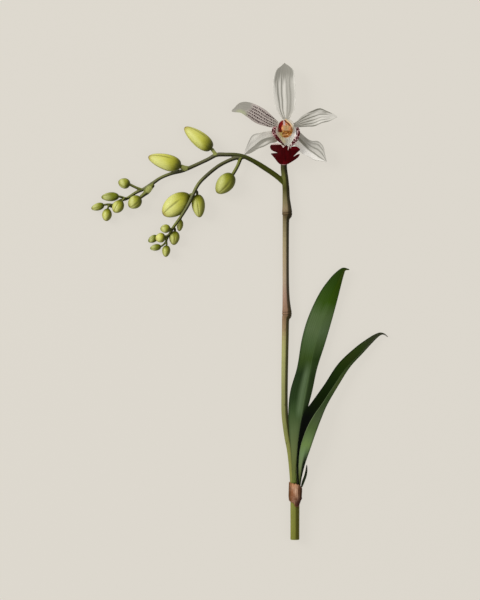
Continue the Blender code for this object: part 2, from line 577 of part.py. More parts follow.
def build_lip():
    """Trough of the side lobes, middle lobe and callus ridges, fused into one body."""
    trough = blade("trough", LIP_TROUGH, LIP_THICKNESS, 2, 13, TROUGH_POWER)
    ridges = [ball(f"callus_{i}", *ridge, 8) for i, ridge in enumerate(CALLUS_RIDGES)]
    return fuse("lip", add_applied(trough), [build_middle_lobe(), *ridges], "MANIFOLD")


def build_column():
    """Column of the flower: oval rings carried towards the viewer, closed at both ends."""
    turn = 2 * pi * np.arange(COLUMN_SIDES) / COLUMN_SIDES
    rings = []
    for x, y, height, half_width, half_depth in COLUMN_RINGS:
        ring = np.empty((COLUMN_SIDES, 3))
        ring[:] = place((x, y, height))
        ring[:, 0] += half_width * MM * np.cos(turn)
        ring[:, 1] += half_depth * MM * np.sin(turn)
        rings.append(ring)
    points = np.vstack(rings)
    top = len(points) - COLUMN_SIDES
    faces = [tuple(range(COLUMN_SIDES))[::-1], tuple(range(top, len(points)))]
    for i in range(len(COLUMN_RINGS) - 1):
        for j in range(COLUMN_SIDES):
            k = (j + 1) % COLUMN_SIDES
            a, b = i * COLUMN_SIDES, (i + 1) * COLUMN_SIDES
            faces.append((a + j, a + k, b + k, b + j))
    return mesh_object("column", points, faces)


def build_sheath():
    """Dry sheath: a tube along Y that narrows to its foot, with torn ends."""
    turn = 2 * pi * np.arange(SHEATH_SIDES + 1) / SHEATH_SIDES
    top = np.interp(np.cos(turn), *zip(*SHEATH_TOP))
    foot = np.interp(np.cos(turn), *zip(*SHEATH_FOOT))
    share = np.linspace(0, 1, SHEATH_RINGS)[:, None]
    grid = np.empty((SHEATH_RINGS, SHEATH_SIDES + 1, 3))
    grid[..., 1] = top + (foot - top) * share
    plan_y, middle_x, outer = zip(*SHEATH_PROFILE)
    radius = np.interp(grid[..., 1], plan_y, outer) - SHEATH_THICKNESS / MM / 2
    grid[..., 0] = np.interp(grid[..., 1], plan_y, middle_x) + radius * np.cos(turn) * MM / GRID
    grid[..., 2] = SHEATH_HEIGHT + radius * np.sin(turn)
    obj = mesh_object("sheath", place(grid).reshape(-1, 3), grid_triangles(*grid.shape[:2]))
    tidy(obj.data)
    wall = obj.modifiers.new("thickness", "SOLIDIFY")
    wall.thickness = SHEATH_THICKNESS
    wall.offset = 0.0
    return obj


def main():
    """Build every piece of the flowering stem and give each its material."""
    drop(list(bpy.data.objects))
    surface = surface_cutter()
    stem = build_stem()
    sheath = build_sheath()
    leaves = [
        blade("leaf_tall", LEAF_TALL, LEAF_THICKNESS, power=1.3),
        blade("leaf_low", LEAF_LOW, LEAF_THICKNESS, power=1.3),
        blade("bract_leaf", BRACT_LEAF, LEAF_THICKNESS, columns=5, power=1.3),
    ]
    tepals = [
        blade("dorsal_sepal", DORSAL_SEPAL, TEPAL_THICKNESS),
        blade("left_petal", LEFT_PETAL, TEPAL_THICKNESS),
        blade("right_petal", RIGHT_PETAL, TEPAL_THICKNESS),
        blade("left_sepal", LEFT_SEPAL, TEPAL_THICKNESS),
        blade("right_sepal", RIGHT_SEPAL, TEPAL_THICKNESS),
    ]
    lip = build_lip()
    column = build_column()
    anther = ball("anther_cap", ANTHER_CENTRE, ANTHER_HALF_SIZE)
    buds = [bud(name, *row[:5]) for name, row in BUDS.items()]
    for obj in (stem, sheath, *buds):
        press_flat(obj, surface)
    finishes = (
        ([stem], "stem_green", STEM_GREEN),
        ([sheath], "sheath_brown", SHEATH_BROWN),
        (leaves, "leaf_green", LEAF_GREEN),
        (tepals, "tepal_white", TEPAL_WHITE),
        ([lip], "lip_maroon", LIP_MAROON),
        ([column], "column_orange", COLUMN_ORANGE),
        ([anther], "anther_tan", ANTHER_TAN),
        (buds, "bud_green", BUD_GREEN),
    )
    for pieces, name, colour in finishes:
        mat = material(name, colour)
        for piece in pieces:
            piece.data.materials.append(mat)


main()
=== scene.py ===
"""Cymbidium orchid, one cut flowering stem: its finished pieces and the studio round it.

The plant lies on its back. A place in the plane is a point on a plan grid whose steps are
GRID metres: x to the right, y down the plant, as seen from above. A height or a radius is
in millimetres. Every outline is a short table of stations with a smooth curve through them.
"""

import logging
from collections.abc import Sequence
from dataclasses import dataclass, field
from enum import Enum
from typing import Any

import bmesh
import bpy
import numpy as np
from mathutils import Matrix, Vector
from mathutils.geometry import delaunay_2d_cdt


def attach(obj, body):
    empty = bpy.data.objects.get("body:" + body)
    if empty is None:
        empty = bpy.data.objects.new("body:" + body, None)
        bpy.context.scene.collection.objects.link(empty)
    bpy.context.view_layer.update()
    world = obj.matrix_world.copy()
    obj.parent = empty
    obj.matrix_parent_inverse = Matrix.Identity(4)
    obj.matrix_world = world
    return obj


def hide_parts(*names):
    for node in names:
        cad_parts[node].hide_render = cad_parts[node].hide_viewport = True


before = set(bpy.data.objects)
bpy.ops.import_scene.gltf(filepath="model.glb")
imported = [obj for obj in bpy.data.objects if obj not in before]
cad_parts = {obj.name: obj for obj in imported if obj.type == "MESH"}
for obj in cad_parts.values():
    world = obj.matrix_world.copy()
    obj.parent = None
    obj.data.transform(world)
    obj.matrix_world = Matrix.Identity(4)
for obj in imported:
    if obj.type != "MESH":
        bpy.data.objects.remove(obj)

log = logging.getLogger("orchid")
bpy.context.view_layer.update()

# Thicknesses in metres
LEAF = 0.0009
TEPAL = 0.0007

# The plan grid: its step in metres, and the place on it of the world's origin
GRID = 0.0790 / (337.0 - 231.7)
MIDDLE_X = 239.8
MIDDLE_Y = 301.7
MM = 0.001
# Places along the main stem of its two ringed joints
JOINTS = (214.0, 313.6)

# Main stem: plan x, plan y, height of its axis, radius. Two ringed joints swell it.
STEM_AXIS = (
    (294.85, 540, 4.9, 3.26), (294.9, 524, 4.9, 3.26), (294.9, 508, 4.9, 3.3),
    (294.9, 496, 4.9, 3.2), (294.2, 487, 4.9, 3.0), (293.8, 480, 4.8, 2.88),
    (293.0, 470, 4.6, 2.85),
    (292.1, 461, 4.4, 2.8), (290.4, 449.5, 4.1, 2.6), (287.8, 437, 3.8, 2.5),
    (285.6, 422, 3.5, 2.42), (284.7, 411, 3.3, 2.4), (284.55, 395, 3.1, 2.3),
    (284.75, 369, 3.1, 2.42), (285.3, 338, 3.2, 2.5), (285.7, 319, 3.4, 2.62),
    (286.7, 315.5, 3.6, 3.45), (286.9, 312.5, 3.6, 3.5), (286.6, 307, 3.6, 3.05),
    (286.1, 298, 3.5, 2.6), (285.8, 282, 3.4, 2.33), (285.75, 250, 3.4, 2.29),
    (285.9, 222, 3.5, 2.35), (286.2, 218, 3.55, 2.65), (287.0, 215, 3.6, 3.62),
    (287.1, 212, 3.6, 3.66), (286.8, 206, 3.6, 3.2), (286.2, 198, 3.6, 2.7),
    (285.9, 188, 3.6, 2.5), (285.0, 178, 3.7, 2.4), (283.9, 168, 3.9, 2.3),
    (284.0, 158, 4.5, 2.2), (284.5, 148, 5.6, 2.3), (285.1, 139, 6.8, 2.6),
    (285.5, 132, 7.8, 2.8),
)

# Arching branch and the upper twig that it runs on into
UPPER_TWIG = (
    (286.0, 191, 3.6, 1.7), (284.6, 184, 3.7, 1.75), (281.0, 179.8, 3.9, 1.84),
    (273.9, 174, 4.4, 1.84), (262.4, 166.4, 5.1, 1.8), (253.8, 161.2, 5.7, 1.6),
    (244.6, 156.8, 6.2, 1.5), (236, 154.9, 6.4, 1.42), (226.5, 154.6, 6.3, 1.4),
    (216.6, 154.9, 6.1, 1.5), (208, 159.3, 5.6, 1.35), (197.5, 164.2, 5.0, 1.3),
    (188.5, 168.2, 4.6, 1.35), (181.8, 170.9, 4.2, 1.25), (171.4, 173.4, 3.8, 1.2),
    (160.9, 177.6, 3.6, 1.15), (152.8, 183.0, 3.6, 1.25), (143.7, 188.9, 3.6, 1.15),
    (136, 192.4, 3.5, 1.1), (126.8, 198.4, 2.9, 1.05), (120.7, 200.1, 2.1, 0.95),
    (115.6, 202.7, 1.8, 0.9), (110, 207.2, 1.9, 0.8),
)
# Lower twig, from the fork, over the largest bud and down to the lower cluster
LOWER_TWIG = (
    (243.5, 157.4, 6.1, 1.3), (238.3, 157.8, 6.3, 1.35), (233.7, 158.7, 6.8, 1.35),
    (225.1, 162.4, 7.8, 1.3), (216.5, 167.6, 8.9, 1.3), (205, 177.3, 10.1, 1.3),
    (198.1, 185, 10.9, 1.25), (192.8, 195.5, 11.4, 1.25), (188.1, 205.6, 11.4, 1.2),
    (180.6, 217.5, 9.6, 1.1), (174.6, 225.7, 8.0, 1.05), (172.2, 229.5, 7.4, 1.0),
    (169.0, 235, 6.5, 0.9), (166.7, 239, 5.6, 0.85), (166.0, 242.4, 4.8, 0.8),
)

# The knob at the end of the flower's stalk, which sepals, petals, lip and column sit on
KNOB_CENTRE = (285.5, 129.0, 8.0)
KNOB_RADIUS = 3.2

# Buds: tip and base (plan x, plan y, height), widest radius, thickness as a share of the
# width, where along it is widest, the stalk's points from inside the twig, some with a
# radius of their own, and the stalk's radius
BUDS = {
    "bud_b1": ((184.6, 127.6, 8.8), (211.6, 148.9, 7.6), 5.85, 0.97, 0.37,
               ((216.9, 156.4, 6.0), (214.3, 152.4, 6.8)), 1.2),
    "bud_b2": ((148.4, 157.0, 8.6), (180.7, 166.6, 7.4), 6.1, 0.97, 0.37,
               ((187.0, 168.4, 4.7), (184.7, 167.8, 6.1)), 1.6),
    "bud_c1": ((217.0, 193.0, 7.0), (232.9, 174.3, 7.0), 6.4, 0.97, 0.45,
               ((240.8, 157.9, 6.4), (237.6, 166.0, 6.6)), 1.2),
    "bud_s1": ((118.2, 181.6, 4.7), (130.0, 184.6, 4.7), 3.95, 1.0, 0.44,
               ((142.5, 190.0, 3.7), (136.2, 187.6, 4.3)), 0.9),
    "bud_s2": ((101.3, 197.3, 5.2), (119.0, 196.4, 4.8), 3.4, 1.0, 0.44,
               ((126.2, 199.0, 2.9), (122.6, 197.4, 4.0)), 0.8),
    "bud_s3": ((91.2, 208.6, 3.6), (104.0, 204.8, 3.4), 2.85, 1.0, 0.44,
               ((112.5, 204.8, 1.9), (108.4, 204.2, 2.7)), 0.7),
    "bud_s4": ((105.9, 221.0, 4.2), (107.7, 208.3, 3.9), 3.7, 1.0, 0.5,
               ((111.6, 205.4, 1.9), (109.0, 205.6, 2.8)), 0.7),
    "bud_s5": ((114.3, 212.4, 7.5), (122.2, 200.9, 7.1), 4.35, 1.0, 0.5,
               ((126.0, 198.6, 3.0), (124.8, 198.4, 5.6)), 0.8),
    "bud_s6": ((128.9, 206.9, 6.6), (140.6, 197.3, 6.0), 4.85, 1.0, 0.47,
               ((153.4, 184.4, 3.8, 1.2), (150.4, 187.6, 4.2, 1.85), (147.2, 191.4, 4.8, 2.05),
                (144.0, 194.4, 5.4, 1.5)), 1.2),
    "bud_d1": ((163.1, 214.8, 6.2), (189.9, 195.0, 6.2), 8.0, 0.77, 0.49,
               ((192.6, 195.0, 11.2), (192.6, 194.4, 8.8)), 1.0),
    "bud_d2": ((199.8, 217.4, 6.6), (197.3, 194.5, 7.4), 5.0, 1.0, 0.42,
               ((193.6, 192.6, 11.0), (196.6, 191.4, 8.8)), 0.9),
    "bud_d3": ((179.1, 231.2, 4.0), (180.6, 219.6, 4.6), 2.4, 1.0, 0.44,
               ((180.6, 217.6, 9.2), (180.9, 217.2, 6.8)), 0.7),
    "bud_d4": ((160.4, 229.0, 9.4), (170.6, 228.7, 9.3), 3.25, 1.0, 0.46,
               ((173.2, 228.6, 7.6), (172.6, 229.2, 8.5)), 0.7),
    "bud_d5": ((173.6, 245.0, 4.2), (174.9, 230.9, 4.3), 3.95, 1.0, 0.44,
               ((172.6, 229.0, 7.2), (174.7, 228.6, 5.6)), 0.8),
    "bud_d6": ((155.5, 239.2, 8.2), (165.4, 236.4, 7.8), 3.65, 1.0, 0.44,
               ((168.9, 235.0, 6.5), (167.6, 235.6, 7.5)), 0.7),
    "bud_d7": ((148.2, 241.6, 3.2), (157.6, 236.4, 3.0), 2.75, 1.0, 0.44,
               ((166.9, 238.6, 5.6), (162.4, 236.4, 3.2)), 0.65),
    "bud_d8": ((150.0, 248.4, 3.2), (161.0, 246.3, 2.9), 2.5, 1.0, 0.44,
               ((166.1, 241.4, 4.8), (164.2, 243.8, 2.9)), 0.65),
    "bud_d9": ((165.6, 256.9, 4.8), (166.7, 245.3, 5.0), 3.1, 1.0, 0.44,
               ((166.1, 241.4, 5.0), (166.5, 243.0, 5.1)), 0.7),
}
# How green each bud is, from 0 to 1, and the turn of its seams; the rest step on round. On bud_c1 the
# tone is painted shade.
BUD_TONES = {
    "bud_b1": 0.0, "bud_b2": 0.0, "bud_c1": 0.5, "bud_d1": 0.06, "bud_d2": 0.3,
    "bud_s1": 0.6, "bud_s2": 0.85, "bud_s3": 0.7, "bud_s4": 0.34, "bud_s5": 0.32,
    "bud_s6": 0.4, "bud_d3": 0.5, "bud_d4": 0.5, "bud_d5": 0.45, "bud_d6": 0.05,
    "bud_d7": 0.9, "bud_d8": 0.85, "bud_d9": 0.5,
}
BUD_TURNS = {"bud_b1": 0.3, "bud_b2": 0.4, "bud_c1": 0.93, "bud_d1": 0.65, "bud_d2": 0.7}
BUD_TURN_STEP = 0.37

# Blades: stations from base to tip, each with one edge, the midrib and the other edge,
# as plan x, plan y and height
LEAF_TALL = (
    ((292.4, 482.6, 8.35), (294.5, 482.7, 8.6), (296.1, 482.6, 8.15)),
    ((292.1, 475, 8.2), (294.7, 475, 8.4), (296.4, 475, 7.7)),
    ((291.8, 467, 8.2), (295.2, 467, 8.4), (296.9, 467, 7.0)),
    ((290.7, 450, 7.9), (297.2, 449, 9.0), (300.4, 449, 7.4)),
    ((288.9, 430, 7.0), (299.4, 429, 8.8), (303.4, 430, 6.5)),
    ((288.4, 409, 5.6), (302.0, 409, 8.7), (307.4, 410, 6.2)),
    ((290.6, 390, 4.2), (305.4, 391, 8.2), (312.3, 391, 5.6)),
    ((297.2, 367, 3.5), (310.2, 368, 7.8), (317.3, 368, 5.0)),
    ((301.9, 339, 3.4), (315.8, 342, 7.5), (325.2, 343.3, 4.6)),
    ((308.7, 316, 3.6), (322.6, 320, 7.2), (332.3, 319, 4.5)),
    ((319.6, 293, 4.0), (330.6, 298, 6.9), (338.2, 297, 4.6)),
    ((330.5, 277.8, 4.6), (337.6, 282.5, 6.4), (342.2, 281, 4.9)),
    ((338.6, 270.0, 5.0), (342.0, 273.2, 5.9), (344.2, 274.0, 5.1)),
    ((343.6, 267.6, 5.2), (344.8, 269.0, 5.5), (345.6, 270.6, 5.2)),
    ((349.3, 269.1, 5.0), (349.5, 269.5, 5.0), (349.3, 270.0, 5.0)),
)
LEAF_LOW = (
    ((298.2, 485.6, 7.3), (299.1, 485.8, 6.7), (300.5, 485.6, 6.9)),
    ((297.3, 476, 8.8), (298.5, 476, 7.9), (302.0, 476, 8.3)),
    ((297.0, 462, 9.9), (298.6, 462, 8.8), (305.3, 463, 9.6)),
    ((297.6, 446, 11.2), (300.6, 446, 9.6), (310.6, 447.5, 11.0)),
    ((299.9, 427, 11.4), (306.8, 428.5, 8.4), (316.0, 432, 10.6)),
    ((303.4, 413.5, 10.6), (314.0, 415.5, 6.8), (321.6, 417.5, 9.8)),
    ((312.4, 401, 9.0), (321.8, 404.5, 5.2), (327.2, 404.6, 8.2)),
    ((324.1, 384.7, 7.8), (331.6, 389.5, 4.6), (336.9, 387.8, 7.2)),
    ((337.9, 364, 6.6), (345.2, 369.4, 4.0), (350.2, 366.7, 6.2)),
    ((354.0, 348.6, 5.4), (359.6, 353.8, 3.4), (363.4, 352.3, 5.2)),
    ((367.9, 338.4, 4.2), (371.2, 341.6, 3.0), (372.7, 342.4, 4.1)),
    ((378.0, 333.0, 3.2), (379.2, 334.6, 2.7), (379.9, 335.8, 3.1)),
    ((383.8, 333.2, 2.8), (384.0, 333.9, 2.6), (384.0, 334.8, 2.8)),
    ((388.0, 336.5, 2.4), (388.1, 336.8, 2.4), (387.8, 337.1, 2.4)),
)
BRACT_LEAF = (
    ((300.8, 487.0, 4.9), (301.6, 487.1, 5.0), (302.4, 487.1, 4.8)),
    ((302.2, 481.0, 5.4), (303.3, 481.3, 6.2), (305.0, 480.6, 5.2)),
    ((304.2, 475.8, 5.9), (305.2, 476.0, 6.8), (306.7, 475.4, 5.7)),
    ((305.5, 470.8, 6.1), (306.3, 471.0, 6.8), (307.3, 470.8, 6.0)),
    ((306.2, 467.0, 6.2), (306.7, 467.0, 6.6), (307.1, 467.0, 6.2)),
    ((306.5, 464.9, 6.3), (306.8, 464.7, 6.3), (307.0, 465.0, 6.3)),
)
DORSAL_SEPAL = (
    ((283.7, 124.3, 8.0), (285.5, 124.3, 7.8), (287.3, 124.3, 8.0)),
    ((281.9, 119.0, 8.8), (285.6, 119.0, 8.2), (289.3, 119.0, 8.8)),
    ((276.4, 110.0, 10.2), (285.2, 110.0, 8.8), (294.6, 110.0, 10.2)),
    ((273.7, 98.0, 11.0), (284.9, 98.0, 9.3), (295.4, 98.0, 11.0)),
    ((272.8, 86.0, 10.8), (284.5, 86.0, 9.2), (295.2, 86.0, 10.8)),
    ((274.1, 76.0, 10.1), (284.4, 76.0, 8.8), (294.3, 76.0, 10.1)),
    ((276.0, 70.0, 9.4), (284.5, 69.6, 8.5), (293.3, 70.4, 9.4)),
    ((279.9, 67.0, 8.9), (284.5, 65.8, 8.3), (290.2, 67.0, 8.9)),
    ((284.1, 63.5, 8.2), (284.5, 63.2, 8.1), (284.9, 63.5, 8.2)),
)
LEFT_PETAL = (
    ((281.5, 125.6, 9.6), (281.4, 126.9, 9.5), (281.4, 128.2, 9.6)),
    ((277.2, 121.2, 10.6), (275.6, 124.5, 10.2), (274.6, 128.0, 10.5)),
    ((270.5, 114.7, 11.8), (267.6, 120.8, 10.8), (265.7, 126.8, 11.4)),
    ((262.2, 108.3, 12.6), (258.6, 115.6, 11.4), (256.4, 123.6, 12.0)),
    ((253.9, 104.3, 12.7), (250.4, 111.2, 11.6), (248.0, 118.2, 12.2)),
    ((245.6, 102.3, 12.2), (243.0, 108.4, 11.4), (241.3, 113.4, 12.0)),
    ((239.2, 103.5, 11.4), (238.1, 108.3, 10.9), (237.5, 112.7, 11.4)),
    ((234.5, 107.9, 10.6), (234.0, 110.3, 10.4), (233.7, 112.5, 10.6)),
    ((231.8, 110.4, 10.0), (231.7, 111.1, 10.0), (231.8, 111.8, 10.0)),
)
RIGHT_PETAL = (
    ((289.5, 125.6, 9.6), (289.6, 126.9, 9.5), (289.6, 128.2, 9.6)),
    ((296.0, 121.8, 10.6), (296.9, 124.8, 10.2), (297.4, 127.4, 10.5)),
    ((302.4, 116.2, 11.6), (304.5, 121.9, 10.6), (306.4, 127.4, 11.4)),
    ((311.2, 111.4, 12.4), (313.0, 119.6, 11.2), (314.4, 126.4, 12.2)),
    ((319.2, 109.0, 12.6), (320.9, 116.9, 11.4), (322.2, 123.8, 12.4)),
    ((326.2, 111.1, 12.2), (328.0, 116.8, 11.2), (328.8, 121.4, 12.0)),
    ((332.5, 113.9, 11.4), (333.0, 116.9, 10.8), (333.4, 119.4, 11.4)),
    ((336.8, 116.8, 10.4), (337.0, 117.2, 10.4), (336.8, 117.6, 10.4)),
)
LEFT_SEPAL = (
    ((280.7, 129.3, 7.9), (280.8, 130.9, 7.8), (280.8, 132.5, 8.0)),
    ((273.6, 130.6, 8.6), (274.8, 136.0, 8.0), (277.0, 141.4, 8.6)),
    ((266.4, 131.8, 9.6), (267.0, 138.0, 8.4), (269.9, 143.8, 9.4)),
    ((259.4, 133.0, 10.4), (260.2, 141.2, 8.8), (262.9, 147.0, 10.0)),
    ((252.8, 135.4, 10.8), (254.6, 146.0, 9.0), (256.2, 150.3, 10.2)),
    ((248.6, 141.2, 10.6), (250.0, 149.4, 9.2), (250.6, 152.8, 10.0)),
    ((245.9, 148.4, 10.2), (246.6, 152.4, 9.4), (247.0, 154.4, 9.8)),
    ((243.9, 154.3, 9.6), (244.0, 154.8, 9.6), (244.3, 155.1, 9.6)),
)
RIGHT_SEPAL = (
    ((290.3, 129.3, 7.9), (290.2, 130.9, 7.8), (290.2, 132.5, 8.0)),
    ((298.8, 131.4, 8.6), (296.6, 137.4, 8.0), (293.4, 142.6, 8.6)),
    ((304.6, 137.0, 9.6), (302.6, 143.6, 8.4), (298.8, 150.6, 9.2)),
    ((311.4, 140.9, 10.4), (309.3, 150.0, 8.8), (304.6, 155.0, 9.8)),
    ((318.4, 141.8, 10.6), (315.6, 154.6, 9.0), (310.8, 158.4, 9.8)),
    ((323.2, 146.8, 10.2), (320.6, 158.2, 9.0), (316.6, 160.2, 9.6)),
    ((324.9, 154.4, 9.6), (323.8, 160.2, 9.0), (321.2, 161.2, 9.2)),
    ((326.6, 161.4, 8.8), (326.5, 161.9, 8.8), (326.1, 162.1, 8.8)),
)
# Side lobes of the lip, a trough that opens towards the viewer: left rim, floor, right rim
LIP_TROUGH = (
    ((283.4, 130.6, 11.7), (285.5, 131.3, 11.5), (287.6, 130.6, 11.7)),
    ((275.0, 127.4, 17.6), (285.5, 134.4, 12.2), (297.0, 127.8, 17.6)),
    ((271.8, 130.4, 20.2), (285.5, 137.2, 12.6), (299.6, 131.8, 20.2)),
    ((272.5, 135.4, 21.0), (285.8, 140.2, 13.0), (299.2, 136.8, 21.0)),
    ((275.6, 139.8, 20.2), (286.3, 143.2, 13.4), (297.5, 141.0, 20.2)),
    ((279.2, 143.0, 18.0), (286.7, 145.8, 13.7), (294.8, 144.7, 18.0)),
    ((282.6, 145.0, 15.6), (287.0, 148.0, 13.7), (291.4, 146.8, 15.6)),
)
# Middle lobe of the lip: its outline round its centre, with a slit on each side
LOBE_CENTRE = (286.0, 154.0)
LOBE_OUTLINE = (
    (270.1, 146.2), (272.3, 144.3), (275.6, 143.8), (279.4, 144.4), (283.4, 145.9),
    (287.8, 147.0), (292.0, 147.0), (295.8, 146.9), (298.5, 148.2), (299.9, 150.2),
    (297.2, 153.0), (293.4, 156.9), (296.8, 155.0), (299.5, 154.4), (298.6, 157.0),
    (296.0, 159.4), (292.4, 161.8), (289.4, 163.6), (286.4, 165.0), (283.4, 165.3),
    (280.4, 164.8), (277.4, 162.5), (274.7, 158.9), (272.5, 156.3), (270.9, 154.0),
    (273.8, 153.5), (277.0, 153.2), (274.0, 151.9), (271.4, 150.4), (270.2, 148.4),
)
LOBE_HEIGHT = 15.0
LOBE_DROP = 3.4
LOBE_RADIUS = 16.5
# Two ridges of the callus on the trough's floor: centre, and half its length each way
CALLUS_RIDGES = (
    ((283.2, 136.4, 13.6), (1.3, 2.2, 1.5)),
    ((288.2, 136.8, 13.6), (1.3, 2.2, 1.5)),
)

# Anther cap: its centre, and its half sizes in millimetres
ANTHER_CENTRE = (286.3, 129.5, 23.0)
ANTHER_HALF_SIZE = (3.85, 2.35, 1.4)

# Dry sheath round the foot of the leaves: plan y, x of its axis and radius down it, then
# the plan y of its two torn ends, from one side, at -1, over the front to the other, at 1
SHEATH_HEIGHT = 5.0
SHEATH_PROFILE = (
    (480.0, 295.5, 5.0), (486.0, 295.5, 5.05), (491.0, 295.4, 5.1), (496.0, 295.2, 5.05),
    (500.0, 295.1, 4.75), (503.0, 295.0, 4.4), (508.0, 294.95, 4.25),
)
SHEATH_TOP = (
    (-1.0, 482.0), (-0.5, 483.3), (0.0, 483.5), (0.5, 484.5), (0.8, 486.2), (1.0, 487.8),
)
SHEATH_FOOT = (
    (-1.0, 500.5), (-0.75, 502.0), (-0.3, 502.6), (-0.1, 505.2), (0.15, 506.8),
    (0.6, 507.0), (0.85, 504.6), (1.0, 500.2),
)

Array = np.ndarray
Spot = tuple[float, float, float]
Rows = tuple[tuple[float, ...], ...]
Stations = tuple[tuple[Spot, Spot, Spot], ...]
Faces = list[tuple[int, ...]]
# A linear colour with full alpha, a colour's three values on a screen, and a ramp's rows of
# a place and a screen colour
Colour = tuple[float, float, float, float]
Tint = tuple[int, int, int]
Stops = tuple[tuple[float, int, int, int], ...]

UP = np.array((0.0, 0.0, 1.0))


def screen(red: int, green: int, blue: int) -> Colour:
    """Linear colour, with full alpha, from its values on a screen.

    Args:
        red, green, blue: the colour's parts, from 0 to 255.

    Returns:
        Each part s as (s + 0.055) / 1.055 to the power 2.4, or s / 12.92 where it is dark.
    """
    parts = [value / 255 for value in (red, green, blue)]
    linear = [((s + 0.055) / 1.055) ** 2.4 if s > 0.04045 else s / 12.92 for s in parts]
    return (linear[0], linear[1], linear[2], 1.0)


# Shader writing


class Term:
    """A number or colour that varies over a surface; operators on it add Math nodes."""

    def __init__(self, paint: "Paint", socket: bpy.types.NodeSocket) -> None:
        """Wrap an output socket of the paint's node tree."""
        self.paint = paint
        self.socket = socket

    def __add__(self, other: "Term | float") -> "Term":
        """This plus the other."""
        return self.paint.math("ADD", self, other)

    __radd__ = __add__

    def __sub__(self, other: "Term | float") -> "Term":
        """This minus the other."""
        return self.paint.math("SUBTRACT", self, other)

    def __rsub__(self, other: float) -> "Term":
        """The number minus this."""
        return self.paint.math("SUBTRACT", other, self)

    def __mul__(self, other: "Term | float") -> "Term":
        """This times the other."""
        return self.paint.math("MULTIPLY", self, other)

    __rmul__ = __mul__

    def __truediv__(self, other: "Term | float") -> "Term":
        """This over the other."""
        return self.paint.math("DIVIDE", self, other)

    def __rtruediv__(self, other: float) -> "Term":
        """The number over this."""
        return self.paint.math("DIVIDE", other, self)

    def __abs__(self) -> "Term":
        """This without its sign."""
        return self.paint.math("ABSOLUTE", self)

    def fract(self) -> "Term":
        """What is left of this above its whole number."""
        return self.paint.math("FRACT", self)

    def floor(self) -> "Term":
        """The whole number below this."""
        return self.paint.math("FLOOR", self)

    def sine(self) -> "Term":
        """The sine of this, in radians."""
        return self.paint.math("SINE", self)

    def larger(self, other: "Term | float") -> "Term":
        """The larger of this and the other."""
        return self.paint.math("MAXIMUM", self, other)

    def smaller(self, other: "Term | float") -> "Term":
        """The smaller of this and the other."""
        return self.paint.math("MINIMUM", self, other)

    def rise(self, low: float, high: float) -> "Term":
        """Smooth step: 0 where this is at low, 1 where it is at high; low may be the larger."""
        settings = {"interpolation_type": "SMOOTHSTEP"}
        if low <= high:
            return self.paint.add("ShaderNodeMapRange", settings, {0: self, 1: low, 2: high})
        return 1 - self.rise(high, low)

    def hill(self, centre: float, half_width: float) -> "Term":
        """Smooth hill: 1 where this is at the centre, 0 half a width or more away."""
        return abs(self - centre).rise(half_width, 0.0)


Value = Term | float | int | Sequence[float]


